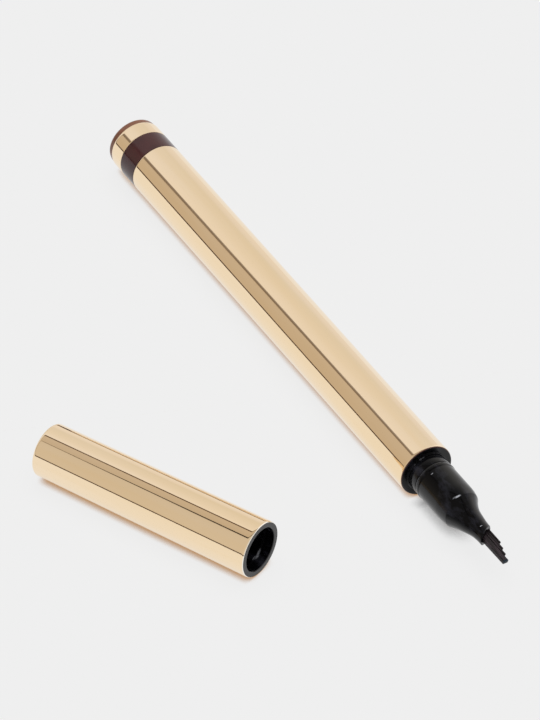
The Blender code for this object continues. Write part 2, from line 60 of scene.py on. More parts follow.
MM = 0.001
MERGE = 1e-7             # closer than this, two points are one
STRAIGHT = 1e-3          # a corner that turns by less than this gets no arc
SMOOTH_ANGLE = radians(32)
OUTER_SIDES = 192        # of a turned piece
LIP_STEPS = 10           # of the curves of the gold lips, the nozzle's head and its cone
HEAD_STEPS = 10
CONE_STEPS = 20
SUPPORT = 0.1 * MM       # from the ends of a straight run to its support points
SUPPORT_FROM = 0.8 * MM  # a straight run longer than this gets them
BARE_EDGE = 0.18         # of the gold's mouth, where the finish is another, in millimetres
CAMERA_AIM = (0.014378, 0.043799, 0.0)   # the camera's target, seen from the closed end of the cap
CAMERA_RANGE = (0.01, 50.0)
SENSOR = 36.0            # long side of the film, in millimetres

# A colour Mix node takes its colours at these sockets and gives its result at this one
FIRST, SECOND, RESULT = 6, 7, 2

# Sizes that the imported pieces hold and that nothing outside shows
FIT_GAP = 0.25 * MM
SHELL_WALL = 0.35 * MM
PLUG_NOSE = 1.0 * MM
PLUG_SPIGOT_R = 3.404 * MM
PLUG_HOLLOW_R = 2.604 * MM
PLUG_RIBS = 6
PLUG_RIB_W = 0.6 * MM
PLUG_RIB_H = 0.1 * MM
PLUG_CROSS_T = 0.9 * MM
COLLAR_BORE_R = 2.914 * MM
COLLAR_SPIGOT_R = 3.404 * MM
FLANGE_LEN = 1.5 * MM
FLANGE_ROOM = 0.02 * MM
NECK_R = 3.664 * MM
CHANNEL_R = 1.954 * MM
CHANNEL_PAST = 0.6 * MM
BEAD_START = 0.1 * MM
NOZZLE_SPIGOT_R = 2.664 * MM
CAP_END_WALL = 0.8 * MM
CAP_WEB = 1.0 * MM

# Small sizes and shares of what shows
CAP_ROOM = 0.005 * MM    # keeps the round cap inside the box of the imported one, which has flat facets
LIP_PROUD = 0.6          # how far before the barrel its gold lip reaches, as a share of the rim's height
COVER_PROUD = 0.65       # where the collar's rim starts to cover that lip, as such a share
TIP_EASE = 0.8           # round on the nozzle's lip before its mouth is cut, as a share of the whole round
SLOT_ROUND = 0.5 * MM    # on the corners of the nozzle's slot
TINE_ROOT = 1.2 * MM     # how far inside the mouth the tines begin
TINE_OVERLAP = 0.5 * MM  # how far the shank reaches in between them
TINE_RISE = 0.25         # how far tines stand above and below the middle in turn, as a share of their slot
TINE_ROUND = 0.04 * MM
SHANK_REAR = 0.35        # width of the shank's rear end, as a share of the nib's

# Rounds on the edges of the black mouldings, from the finest to the softest
HAIR, FINE, CRISP, EASED = 0.03 * MM, 0.04 * MM, 0.05 * MM, 0.06 * MM
SMALL, PLAIN, SOFT = 0.08 * MM, 0.1 * MM, 0.2 * MM


def axis_matrix(mount_name):
    """The frame of a body: X from its closed end towards its open end, Z up."""
    mount = next(m for m in frame["record"]["mounts"] if m["name"] == mount_name)
    along = -Vector(mount["axis"]).normalized()
    across = Vector((0, 0, 1)).cross(along).normalized()
    matrix = Matrix((along, across, along.cross(across))).transposed().to_4x4()
    matrix.translation = Vector(mount["pos_m"])
    return matrix


PEN = axis_matrix("pen_rear_face")
CAP = axis_matrix("cap_end_face")


def reach(node, axis):
    """First station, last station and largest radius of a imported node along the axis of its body."""
    inverse = axis.inverted()
    points = [inverse @ v.co for v in frame["nodes"][node].data.vertices]
    stations = [p.x for p in points]
    return min(stations), max(stations), max(hypot(p.y, p.z) for p in points)


def linear(code):
    """Linear colour of an sRGB hex value."""
    channels = [int(code[i:i + 2], 16) / 255 for i in (1, 3, 5)]
    return [c / 12.92 if c <= 0.04045 else ((c + 0.055) / 1.055) ** 2.4 for c in channels]


# Sizes and colours that a user may change

def length_prop(name, description, millimetres):
    return FloatProperty(name=name, description=description, default=millimetres * MM, min=0.0,
                         precision=5, subtype="DISTANCE", unit="LENGTH")


def colour_prop(name, description, code):
    return FloatVectorProperty(name=name, description=description, default=linear(code), size=3,
                               min=0.0, max=1.0, subtype="COLOR")


def angle_prop(name, description, degrees):
    return FloatProperty(name=name, description=description, default=radians(degrees),
                         subtype="ANGLE", unit="ROTATION")


class BarrelSizes(PropertyGroup):
    """The gold barrel, the shade band, the rear ring and the plug behind them."""
    seam: length_prop("Seam", "Open width of the seams between the barrel, band, ring and plug", 0.05)
    edge: length_prop("Edge round", "Round on the edges at the seams", 0.05)
    lip_length: length_prop("Lip length", "How far the soft edge at the mouth reaches back", 0.4)
    lip_drop: length_prop("Lip drop", "How much the soft edge draws in", 0.15)
    ring_lip: length_prop("Ring lip length", "How far the ring's soft rear edge reaches", 0.5)
    ring_drop: length_prop("Ring lip drop", "How much the ring's rear edge draws in", 0.15)
    tail_round: length_prop("Tail round", "Round on the plug's rear edge", 0.55)
    tail_length: length_prop("Tail length", "How much of the plug shows behind the ring", 1.25)


class FrontSizes(PropertyGroup):
    """The collar, the nozzle and the nib."""
    rim_proud: length_prop("Rim height", "How far the collar's face stands before the barrel", 0.2)
    base_ring: length_prop("Base ring height", "How far the ring at the foot of the neck stands out", 0.12)
    base_ring_length: length_prop("Base ring length", "Length of that ring", 0.3)
    groove_length: length_prop("Groove length", "Length of the groove before the neck", 0.4)
    groove_depth: length_prop("Groove depth", "Depth of that groove", 0.2)
    parting: length_prop("Parting line", "Open width between the collar and the nozzle", 0.06)
    bead_height: length_prop("Bead height", "How far the snap bead stands out", 0.08)
    bead_length: length_prop("Bead length", "Length of the snap bead", 0.9)
    head_length: length_prop("Head length", "From the parting line to the shoulder", 8.5)
    shoulder_drop: length_prop("Shoulder drop", "How much the head draws in at its shoulder", 0.26)
    shoulder_length: length_prop("Shoulder length", "Length over which it draws in", 2.6)
    shoulder_round: length_prop("Shoulder round", "Round on the crease of the shoulder", 0.08)
    cone_length: length_prop("Cone length", "From the shoulder to the middle of the mouth", 7.2)
    cone_power: FloatProperty(name="Cone hollow", description="Above 1 the cone is hollowed",
                              default=2.15, min=0.5, max=3.0)
    mouth_slant: FloatProperty(name="Mouth slant", description="Rise over run of the slanted mouth",
                               default=0.68, min=0.0, max=2.0)
    slant_lead: length_prop("Slant lead", "How far before the shoulder the slant begins", 1.5)
    tip_radius: length_prop("Tip radius", "Radius of the nozzle at its mouth", 1.571)
    tip_round: length_prop("Tip round", "Round on the nozzle's lip", 0.2)
    tip_offset: length_prop("Tip offset", "How far the mouth stands off the pen's axis", 0.2)
    bend_start: length_prop("Bend start", "From the shoulder to where the cone starts to lean", 2.4)
    bend_length: length_prop("Bend length", "Length over which the cone leans", 2.7)
    nib_width: length_prop("Nib width", "Width of the flat nib", 2.15)
    nib_thickness: length_prop("Nib thickness", "Thickness of the flat nib", 0.8)
    nib_offset: length_prop("Nib offset", "How far the nib sits beside the axis", 0.215)
    mouth_room: length_prop("Mouth room", "Room beside the nib in the mouth", 0.13)
    mouth_height: length_prop("Mouth height", "Room above and below the nib in the mouth", 0.32)
    tine_pitch: length_prop("Tine pitch", "Width of each short tine with its slot", 0.39)
    tine_slot: length_prop("Tine slot", "Open width between two tines", 0.07)
    tine_first: length_prop("First tine", "How far the shortest tine stands out", 2.92)
    tine_step: length_prop("Tine step", "How much longer each next tine is", 1.41)
    tine_cut: length_prop("Tine cut", "How far the cut across a tine leans back", 0.3)
    tine_taper: length_prop("Tine taper", "How much the long tine's outer edge draws in", 0.1)
    tines: IntProperty(name="Tines", description="Number of tines of the fork nib", default=4, min=1, max=5)


class CapSizes(PropertyGroup):
    """The cap and the sleeve inside it."""
    end_round: length_prop("End round", "Round on the closed end", 0.6)
    lip_length: length_prop("Lip length", "How far the soft edge at the mouth reaches back", 0.5)
    lip_drop: length_prop("Lip drop", "How much the soft edge draws in", 0.14)
    lip_reach: length_prop("Lip reach", "How far the gold lip reaches round the sleeve's face", 0.12)
    taper: length_prop("Taper", "How much smaller the radius is at the closed end", 0.3)
    sleeve_rim: length_prop("Sleeve rim", "How far the sleeve's face stands before the gold", 0.15)
    sleeve_bore: length_prop("Sleeve bore", "Radius of the sleeve's front bore", 3.924)
    sleeve_chamfer: length_prop("Sleeve chamfer", "Chamfer at the mouth of the sleeve", 0.08)
    ridge_depth: length_prop("Ridge depth", "From the cap's mouth to the snap ridge", 1.6)
    ridge_length: length_prop("Ridge length", "Length of the snap ridge", 0.8)
    ridge_height: length_prop("Ridge height", "How far the snap ridge stands in", 0.08)
    step_depth: length_prop("Step depth", "From the cap's mouth to the end of the front bore", 12.15)
    pocket_depth: length_prop("Pocket depth", "From the cap's mouth to the floor of the seal's pocket", 28.35)
    pocket_radius: length_prop("Pocket radius", "Radius of the seal's pocket", 3.75)


class Finish(PropertyGroup):
    """Colours of the finishes."""
    gold: colour_prop("Gold", "Metallised gold, face on", "#FFEACC")
    gold_deep: colour_prop("Gold, deeper", "The broad streaks in the metallised coat", "#FDE4BE")
    bare: colour_prop("Gold, bare edge", "Brown plastic where the coat ends at a mouth", "#4A2016")
    # Painted highlight: a near-white metal on the cap's lip, so that the lip shows brighter than its gold
    bright: colour_prop("Gold, bright edge", "Lacquer that stands over the cap's lip", "#FFFBF2")
    burgundy: colour_prop("Burgundy", "Lacquer of the shade band", "#43191C")
    burgundy_deep: colour_prop("Burgundy, deeper", "Where that lacquer lies thicker", "#3A1417")
    plug: colour_prop("Plug", "Brown plastic of the rear plug", "#85553F")
    plug_deep: colour_prop("Plug, deeper", "Where that plastic is clouded", "#744935")
    black: colour_prop("Black", "Moulded black polypropylene", "#070709")
    black_worn: colour_prop("Black, worn", "The same where it is smudged", "#2A2A31")
    # Painted highlight: the pale grey laid on the black pieces where an edge or ridge catches a light
    painted_highlight: colour_prop("Rubbed edge", "The same where an edge is rubbed pale", "#B4B6BC")
    nib: colour_prop("Nib", "Inked nylon of the nib", "#110D0F")
    nib_light: colour_prop("Nib, lighter", "Fibres of the nib that catch the light", "#40363B")
    nib_tip: colour_prop("Nib tip", "Wet end of the longest tine", "#12222E")
    # Painted sheen: the blue-black laid on the end of the longest tine
    white: colour_prop("White", "White polypropylene of the nib's holder", "#D9D6D0")
    seal: colour_prop("Seal", "Soft polyethylene of the seal", "#3A3A3D")
    fibre: colour_prop("Fibre", "Soaked fibre of the reservoir", "#2B1D1A")
    fibre_light: colour_prop("Fibre, lighter", "Strands of the reservoir", "#4B342D")
    film: colour_prop("Film", "Clear film round the reservoir", "#D8D8D4")


class Stage(PropertyGroup):
    """Floor, light and camera."""
    floor: colour_prop("Floor", "Colour of the floor", "#EFEFEF")
    glow: FloatProperty(name="Floor glow", description="Share of the floor's brightness that no shadow dims",
                        default=0.94, min=0.0, max=1.0, subtype="FACTOR")
    contact: length_prop("Contact shadow", "How near a piece lies to darken the floor's glow", 1.7)
    nose_shadow: length_prop("Nose shadow", "How near the black nose lies to darken the floor's glow", 3.2)
    floor_size: FloatProperty(name="Floor size", description="Side of the square floor", default=6.0,
                              min=0.5, subtype="DISTANCE", unit="LENGTH")
    sky_share: FloatProperty(name="Sky share", description="Share of the light that comes from all round",
                             default=0.3, min=0.0, max=1.0, subtype="FACTOR")
    key_elevation: angle_prop("Key elevation", "Height of the soft key light", 84)
    key_heading: angle_prop("Key heading", "Direction of the key light, from the right of the picture", 40)
    key_spread: angle_prop("Key spread", "Apparent size of the soft key light", 60)
    elevation: angle_prop("Camera elevation", "How steeply the camera looks down", 41.588)
    heading: angle_prop("Camera heading", "How far the camera looks to the left of +Y", 35.021)
    distance: FloatProperty(name="Camera distance", description="From the camera to its target",
                            default=1.176, min=0.1, subtype="DISTANCE", unit="LENGTH")
    focal_length: FloatProperty(name="Focal length", description="Focal length for a 36 mm long side",
                                default=346.95, min=10.0, max=1000.0, subtype="DISTANCE_CAMERA")


# The panels of the studio, from before the pen to behind it: each one's near edge, its far edge and its
# colour at both. An edge is how far back that point of the sky lies in the picture, from -1 to 1.
PANELS = (
    (-1.0, -0.5, "#E4DCD0", "#D4CCC0"),      # a white card on the table
    (-0.5, -0.014, "#D4CCC0", "#D0C8BC"),    # a cream scrim overhead
    (-0.014, 0.35, "#C4B8A8", "#C8BCAC"),    # a second one, further from the light
    (0.35, 0.9, "#ECE8E4", "#E0DCD4"),       # a white wall, dimmer towards its foot
    (0.9, 1.0, "#E4E0DC", "#ECE8E4"))        # the table before that wall
PANEL_SEAM = 0.015       # half the width over which one panel passes into the next
# The dark gaps between those panels: the direction across each (X to the right of the picture, Y back, Z
# up), its place, half its width, its softness, its colour, two places along X, and how dark it is at each.
GAPS = (("Y", 0.35, 0.021, 0.01, "#4F3824", (-0.62, -0.42), (0.75, 1.0)),
        ("Y", -0.014, 0.026, 0.008, "#2A2016", (-0.581, -0.569), (0.0, 1.0)),
        ("Z", 0.0, 0.05, 0.02, "#463020", (0.2, 0.28), (1.0, 0.0)))
CARD_COLOUR = "#FFFAF6"      # of the white card at the right
CARD_SIDE = (0.36, 0.42)     # where along X it begins, and where it is whole

# Where the gold all but touches the floor, it throws warm light on it: the colour of the floor there, and
# the open shares of the sky at which the floor has all of that colour and none of it.
CONTACT_COLOUR = "#B07818"
CONTACT_REACH = (0.15, 0.68)
# The black nose throws none, so the floor's glow is dim beside it: the open shares of the sky at which the
# glow is least and whole, and the least. This sets in over a short length from the barrel's mouth on, at a
# line that leans, so that the cap lies behind it.
NOSE_SHADE = (0.2, 0.65, 0.15)
NOSE_SHADE_START = 2 * MM
NOSE_SHADE_LEAN = 0.2
SHADOW_SAMPLES = 8

# The black nose is dull face on and glossier on its flanks: its sheen at each, and how far its skin is
# turned away there.
NOSE_SHEEN = (0.11, 0.42)
FACE_ON = (0.22, 0.42)
# The painted highlights and glints of the black pieces: pale spots painted where an edge, a bead or the cap's
# snap ridge catches a light, each a (station, turn, radius, size, paleness) in millimetres and degrees. Each
# is shorter along the pen than round it, and palest in its core.
HIGHLIGHT_SQUEEZE = 3.0
HIGHLIGHT_CORE = 0.3
NOZZLE_PAINTED_HIGHLIGHTS = ((109.75, 102.5, 3.4, 0.7, 0.9), (109.6, 113.0, 3.4, 0.5, 0.3),
                 (116.1, 95.5, 1.58, 0.34, 0.8), (102.9, 114.5, 3.66, 0.33, 0.7))
COLLAR_PAINTED_HIGHLIGHTS = ((99.1, 104.0, 3.78, 0.33, 0.14), (99.1, 112.0, 3.78, 0.36, 0.2),
                 (99.1, 132.0, 3.78, 0.22, 0.16))
SLEEVE_PAINTED_GLINTS = ((41.25, 305.0, 3.87, 0.8, 0.45), (41.4, 294.0, 3.87, 0.8, 0.5),
                 (41.1, 285.0, 3.87, 0.6, 0.35))
TIP_SHEEN = (0.45, 0.15)       # from the nib's end: where its painted blue-black sheen begins, and where it is whole, in mm
CLOUD_SHADE = 0.86           # of a satin moulding's darker clouds
GRAIN_SPREAD = 0.06          # of its roughness, either way


# Shapes

def supported(points):
    """An outline with two more points near the ends of each long straight run, which keep the shading of
    its ends from spreading along it."""
    result = []
    for i, point in enumerate(points):
        result.append(point)
        here, ahead = Vector(point), Vector(points[(i + 1) % len(points)])
        length = (ahead - here).length
        if i + 1 < len(points) and length > SUPPORT_FROM:
            for share in (SUPPORT / length, 1 - SUPPORT / length):
                result.append(tuple(here.lerp(ahead, share)))
    return result


def soft_lip(x, r, length, drop, way):
    """Outline points of the soft edge that leads the outside of a tube down to its end at x, from the
    tube on. The tube ends forwards where way is 1, and backwards where it is -1."""
    turns = [pi / 2 * i / LIP_STEPS for i in range(LIP_STEPS + 1)]
    return [(x - way * length * (1 - sin(t)), r - drop * (1 - cos(t)), 0) for t in turns]


def filleted(outline, steps=4):
    """An outline of (station, radius, round) points, each corner drawn as an arc of its round in so many
    steps."""
    points = []
    count = len(outline)
    for i, (x, r, size) in enumerate(outline):
        if not size:
            points.append((x, r))
            continue
        here = Vector((x, r))
        back = (Vector(outline[i - 1][:2]) - here).normalized()
        ahead = (Vector(outline[(i + 1) % count][:2]) - here).normalized()
        half = acos(max(-1.0, min(1.0, back.dot(ahead)))) / 2
        if half > pi / 2 - STRAIGHT:
            points.append((x, r))
            continue
        centre = here + (back + ahead).normalized() * size / sin(half)
        spoke = here + back * size / tan(half) - centre
        turn = (pi - 2 * half) * (-1 if back.cross(ahead) > 0 else 1)
        for step in range(steps + 1):
            angle = atan2(spoke.y, spoke.x) + turn * step / steps
            points.append((centre.x + size * cos(angle), centre.y + size * sin(angle)))
    return points


def turned(outline):
    """Spin an outline round the X axis. One that starts and ends on the axis is a solid, and any other is
    closed into a ring."""
    outline = supported(outline)
    bm = bmesh.new()
    verts = [bm.verts.new((x, 0, r)) for x, r in outline]
    solid = outline[0][1] == 0 and outline[-1][1] == 0
    ends = verts[1:] if solid else verts[1:] + verts[:1]
    edges = [bm.edges.new(pair) for pair in zip(verts, ends)]
    bmesh.ops.spin(bm, geom=verts + edges, axis=(1, 0, 0), cent=(0, 0, 0), angle=2 * pi,
                   steps=OUTER_SIDES, use_merge=True)
    bmesh.ops.remove_doubles(bm, verts=bm.verts, dist=MERGE)
    bmesh.ops.recalc_face_normals(bm, faces=bm.faces)
    return bm


def add_box(bm, low, high, turn=0.0):
    """Add a box between two corners, turned about the X axis, and return its vertices."""
    low, high = Vector(low), Vector(high)
    matrix = Matrix.Rotation(turn, 4, "X") @ Matrix.Translation((low + high) / 2)
    matrix = matrix @ Matrix.Diagonal((*(high - low), 1.0))
    return bmesh.ops.create_cube(bm, size=1.0, matrix=matrix)["verts"]


def finish_piece(name, bm, axis, mat, body, nodes):
    """Lay a piece along its body's axis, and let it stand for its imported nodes."""
    bmesh.ops.transform(bm, matrix=axis, verts=bm.verts)
    mesh = bpy.data.meshes.new(name)
    bm.to_mesh(mesh)
    bm.free()
    mesh.shade_smooth()
    mesh.set_sharp_from_angle(angle=SMOOTH_ANGLE)
    mesh.materials.append(mat)
    piece = bpy.data.objects.new(name, mesh)
    bpy.context.scene.collection.objects.link(piece)
    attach(piece, body)
    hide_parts(*nodes)


def cut(bm, cutter):
    """Cut one closed bmesh out of another."""
    target, tool = bpy.data.meshes.new("target"), bpy.data.meshes.new("tool")
    bm.to_mesh(target)
    cutter.to_mesh(tool)
    holders = [bpy.data.objects.new(mesh.name, mesh) for mesh in (target, tool)]
    for holder in holders:
        bpy.context.scene.collection.objects.link(holder)
    mod = holders[0].modifiers.new("cut", "BOOLEAN")
    mod.operation = "DIFFERENCE"
    mod.solver = "EXACT"
    mod.object = holders[1]
    depsgraph = bpy.context.evaluated_depsgraph_get()
    result = bmesh.new()
    result.from_object(holders[0], depsgraph)
    for holder in holders:
        bpy.data.objects.remove(holder)
    for mesh in (target, tool):
        bpy.data.meshes.remove(mesh)
    bm.free()
    cutter.free()
    return result


# Finishes

def add_node(tree, kind, settings=None, links=None):
    """Add a node with its settings, by attribute or socket, and its links, each from an output or from the
    first output of a node."""
    node = tree.nodes.new(kind)
    for key, value in (settings or {}).items():
        if isinstance(key, str) and hasattr(node, key):
            setattr(node, key, value)
        else:
            node.inputs[key].default_value = value
    for key, source in (links or {}).items():
        if isinstance(source, bpy.types.Node):
            source = source.outputs[0]
        tree.links.new(source, node.inputs[key])
    return node


def new_finish(name, axis):
    """An empty material, and Object coordinates in millimetres whose X runs along a body from its closed
    end."""
    mat = bpy.data.materials.new(name)
    mat.use_nodes = True
    tree = mat.node_tree
    tree.nodes.clear()
    place = add_node(tree, "ShaderNodeTexCoord")
    laid = add_node(tree, "ShaderNodeMapping", {
        "vector_type": "TEXTURE", "Location": axis.translation, "Rotation": axis.to_euler(),
        "Scale": (MM, MM, MM)}, {"Vector": place.outputs["Object"]})
    return mat, tree, laid


def metallised_gold(axis, name, finish, end, edge, metal):
    """Vacuum-metallised brown ABS under clear lacquer: a pale gold mirror. Streaks run along it where the
    moulding was drawn, 4 mm and 0.4 mm wide, the lacquer waves over some 20 mm, and handling has left pits
    of about 0.1 mm, drawn 0.2 mm wide so that they show. The very edge of its mouth, end millimetres along,
    has the colour edge, as bare plastic where metal is 0 and as metal where it is 1. On the cap that colour
    is a near-white metal, a painted highlight along its lip."""
    mat, tree, laid = new_finish(name, axis)
    drawn = add_node(tree, "ShaderNodeMapping", {"Scale": (0.05, 1.0, 1.0)}, {"Vector": laid})
    streaks = add_node(tree, "ShaderNodeTexNoise", {"Scale": 0.25, "Detail": 3.0}, {"Vector": drawn})
    tone = add_node(tree, "ShaderNodeMapRange", {"From Min": 0.35, "From Max": 0.65}, {"Value": streaks})
    colour = add_node(tree, "ShaderNodeMix", {
        "data_type": "RGBA", FIRST: (*finish.gold, 1.0), SECOND: (*finish.gold_deep, 1.0)}, {0: tone})
    fine = add_node(tree, "ShaderNodeTexNoise", {"Scale": 2.5, "Detail": 2.0}, {"Vector": drawn})
    gloss = add_node(tree, "ShaderNodeMapRange", {
        "From Min": 0.3, "From Max": 0.7, "To Min": 0.03, "To Max": 0.07}, {"Value": fine})
    slow = add_node(tree, "ShaderNodeMapping", {"Scale": (0.12, 1.0, 1.0)}, {"Vector": laid})
    waves = add_node(tree, "ShaderNodeTexNoise", {"Scale": 0.35, "Detail": 1.0}, {"Vector": slow})
    wavy = add_node(tree, "ShaderNodeBump", {"Strength": 0.4, "Distance": 0.02 * MM}, {"Height": waves})
    combed = add_node(tree, "ShaderNodeBump", {"Strength": 0.06, "Distance": 0.004 * MM}, {
        "Height": fine, "Normal": wavy})
    cells = add_node(tree, "ShaderNodeTexVoronoi", {"Scale": 0.13, "Randomness": 1.0}, {"Vector": laid})
    pits = add_node(tree, "ShaderNodeMapRange", {"From Max": 0.03}, {"Value": cells})
    pitted = add_node(tree, "ShaderNodeBump", {"Strength": 0.6, "Distance": 0.02 * MM}, {
        "Height": pits, "Normal": combed})
    place_along = add_node(tree, "ShaderNodeSeparateXYZ", links={"Vector": laid})
    bare = add_node(tree, "ShaderNodeMapRange", {
        "From Min": end - BARE_EDGE, "From Max": end - BARE_EDGE / 2}, {"Value": place_along})
    skin = add_node(tree, "ShaderNodeMix", {"data_type": "RGBA", SECOND: (*edge, 1.0)}, {
        0: bare, FIRST: colour.outputs[RESULT]})
    coated = add_node(tree, "ShaderNodeMapRange", {"To Min": 1.0, "To Max": metal}, {"Value": bare})
    coat = add_node(tree, "ShaderNodeBsdfPrincipled", links={
        "Base Color": skin.outputs[RESULT], "Metallic": coated, "Roughness": gloss, "Normal": pitted})
    add_node(tree, "ShaderNodeOutputMaterial", links={"Surface": coat})
    return mat


def glossy_plastic(axis, name, colour, deep_colour):
    """Moulded ABS under a glossy lacquer: deeper where the coat is thicker, in clouds of some 3 mm, with a
    skin that ripples over 0.6 mm."""
    mat, tree, laid = new_finish(name, axis)
    cloud = add_node(tree, "ShaderNodeTexNoise", {"Scale": 0.35, "Detail": 2.0}, {"Vector": laid})
    tone = add_node(tree, "ShaderNodeMapRange", {"From Min": 0.35, "From Max": 0.65}, {"Value": cloud})
    shade = add_node(tree, "ShaderNodeMix", {
        "data_type": "RGBA", FIRST: (*colour, 1.0), SECOND: (*deep_colour, 1.0)}, {0: tone})
    ripple = add_node(tree, "ShaderNodeTexNoise", {"Scale": 1.6, "Detail": 2.0}, {"Vector": laid})
    gloss = add_node(tree, "ShaderNodeMapRange", {
        "From Min": 0.3, "From Max": 0.7, "To Min": 0.10, "To Max": 0.18}, {"Value": ripple})
    skin = add_node(tree, "ShaderNodeBump", {"Strength": 0.15, "Distance": 0.006 * MM}, {
        "Height": ripple})
    coat = add_node(tree, "ShaderNodeBsdfPrincipled", {"IOR": 1.5}, {
        "Base Color": shade.outputs[RESULT], "Roughness": gloss, "Normal": skin})
    add_node(tree, "ShaderNodeOutputMaterial", links={"Surface": coat})
    return mat


def moulded_polypropylene(axis, finish, name, gloss=(0.12, 0.22), sheen=None, painted_highlight=()):
    """Injection-moulded black polypropylene: a gloss softened by the mould's fine finish, flow marks of
    some 1.5 mm along it, and paler smudges from the cap. Where a sheen is given, it grows from face on to
    the flanks. Where painted highlights are given, small pale spots are painted on where an edge catches a
    light."""
    mat, tree, laid = new_finish(name, axis)
    drawn = add_node(tree, "ShaderNodeMapping", {"Scale": (0.45, 1.0, 1.0)}, {"Vector": laid})
    smudge = add_node(tree, "ShaderNodeTexNoise", {"Scale": 0.55, "Detail": 4.0, "Roughness": 0.6}, {
        "Vector": drawn})
    worn = add_node(tree, "ShaderNodeMapRange", {"From Min": 0.5, "From Max": 0.72}, {"Value": smudge})
    colour = add_node(tree, "ShaderNodeMix", {
        "data_type": "RGBA", FIRST: (*finish.black, 1.0), SECOND: (*finish.black_worn, 1.0)}, {0: worn})
    # Each mark is a painted highlight: a pale spot mixed into the black where a light is caught
    for station, turn, radius, size, paleness in painted_highlight:
        squeezed = add_node(tree, "ShaderNodeVectorMath", {
            "operation": "MULTIPLY", 1: (HIGHLIGHT_SQUEEZE, 1.0, 1.0)}, {0: laid})
        spot = (station * HIGHLIGHT_SQUEEZE, radius * cos(radians(turn)), radius * sin(radians(turn)))
        away = add_node(tree, "ShaderNodeVectorMath", {"operation": "DISTANCE", 1: spot}, {0: squeezed})
        near = add_node(tree, "ShaderNodeMapRange", {
            "From Min": size, "From Max": size * HIGHLIGHT_CORE, "To Max": paleness,
            "interpolation_type": "SMOOTHSTEP"}, {"Value": away.outputs["Value"]})
        colour = add_node(tree, "ShaderNodeMix", {"data_type": "RGBA", SECOND: (*finish.painted_highlight, 1.0)}, {
            0: near, FIRST: colour.outputs[RESULT]})
    dull = add_node(tree, "ShaderNodeMapRange", {
        "From Min": 0.35, "From Max": 0.7, "To Min": gloss[0], "To Max": gloss[1]}, {"Value": smudge})
    flow = add_node(tree, "ShaderNodeTexNoise", {"Scale": 0.7, "Detail": 2.0}, {"Vector": laid})
    wavy = add_node(tree, "ShaderNodeBump", {"Strength": 0.3, "Distance": 0.03 * MM}, {"Height": flow})
    grain = add_node(tree, "ShaderNodeTexNoise", {"Scale": 9.0, "Detail": 2.0}, {"Vector": laid})
    skin = add_node(tree, "ShaderNodeBump", {"Strength": 0.08, "Distance": 0.004 * MM}, {
        "Height": grain, "Normal": wavy})
    coat = add_node(tree, "ShaderNodeBsdfPrincipled", {"IOR": 1.45}, {
        "Base Color": colour.outputs[RESULT], "Roughness": dull, "Normal": skin})
    if sheen:
        turned_away = add_node(tree, "ShaderNodeLayerWeight", {"Blend": 0.5})
        lustre = add_node(tree, "ShaderNodeMapRange", {
            "From Min": FACE_ON[0], "From Max": FACE_ON[1], "To Min": sheen[0], "To Max": sheen[1]}, {
            "Value": turned_away.outputs["Facing"]})
        tree.links.new(lustre.outputs[0], coat.inputs["Specular IOR Level"])
    add_node(tree, "ShaderNodeOutputMaterial", links={"Surface": coat})
    return mat


def inked_nylon(axis, finish, tip, low, high):
    """Extruded nylon fibre nib soaked with dark liquid: fibres of about 0.06 mm run along it, drawn 0.15 mm
    wide so that they show, and the wet ones catch the light. It is paler towards its long tine, at low, and
    the end of that tine is painted blue-black, a painted sheen."""
    mat, tree, laid = new_finish("inked_nylon_fibre", axis)
    drawn = add_node(tree, "ShaderNodeMapping", {"Scale": (0.08, 1.0, 1.0)}, {"Vector": laid})
    fibres = add_node(tree, "ShaderNodeTexNoise", {"Scale": 6.5, "Detail": 3.0, "Roughness": 0.6}, {
        "Vector": drawn})
    wet = add_node(tree, "ShaderNodeMapRange", {"From Min": 0.42, "From Max": 0.66}, {"Value": fibres})
    place = add_node(tree, "ShaderNodeSeparateXYZ", links={"Vector": laid})
    pale = add_node(tree, "ShaderNodeMapRange", {
        "From Min": low, "From Max": high, "To Min": 1.0, "To Max": 0.25}, {"Value": place.outputs["Y"]})
    light = add_node(tree, "ShaderNodeMath", {"operation": "MULTIPLY"}, {0: wet, 1: pale})
    shade = add_node(tree, "ShaderNodeMix", {
        "data_type": "RGBA", FIRST: (*finish.nib, 1.0), SECOND: (*finish.nib_light, 1.0)}, {0: light})
    # The painted blue-black sheen at the end of the longest tine
    end = add_node(tree, "ShaderNodeMapRange", {
        "From Min": tip - TIP_SHEEN[0], "From Max": tip - TIP_SHEEN[1]}, {"Value": place})
    colour = add_node(tree, "ShaderNodeMix", {"data_type": "RGBA", SECOND: (*finish.nib_tip, 1.0)}, {
        0: end, FIRST: shade.outputs[RESULT]})
    dull = add_node(tree, "ShaderNodeMapRange", {
        "From Min": 0.3, "From Max": 0.7, "To Min": 0.38, "To Max": 0.7}, {"Value": fibres})
    ribbed = add_node(tree, "ShaderNodeBump", {"Strength": 0.8, "Distance": 0.04 * MM}, {"Height": fibres})
    coat = add_node(tree, "ShaderNodeBsdfPrincipled", {"IOR": 1.45, "Specular IOR Level": 0.3}, {
        "Base Color": colour.outputs[RESULT], "Roughness": dull, "Normal": ribbed})
    add_node(tree, "ShaderNodeOutputMaterial", links={"Surface": coat})
    return mat


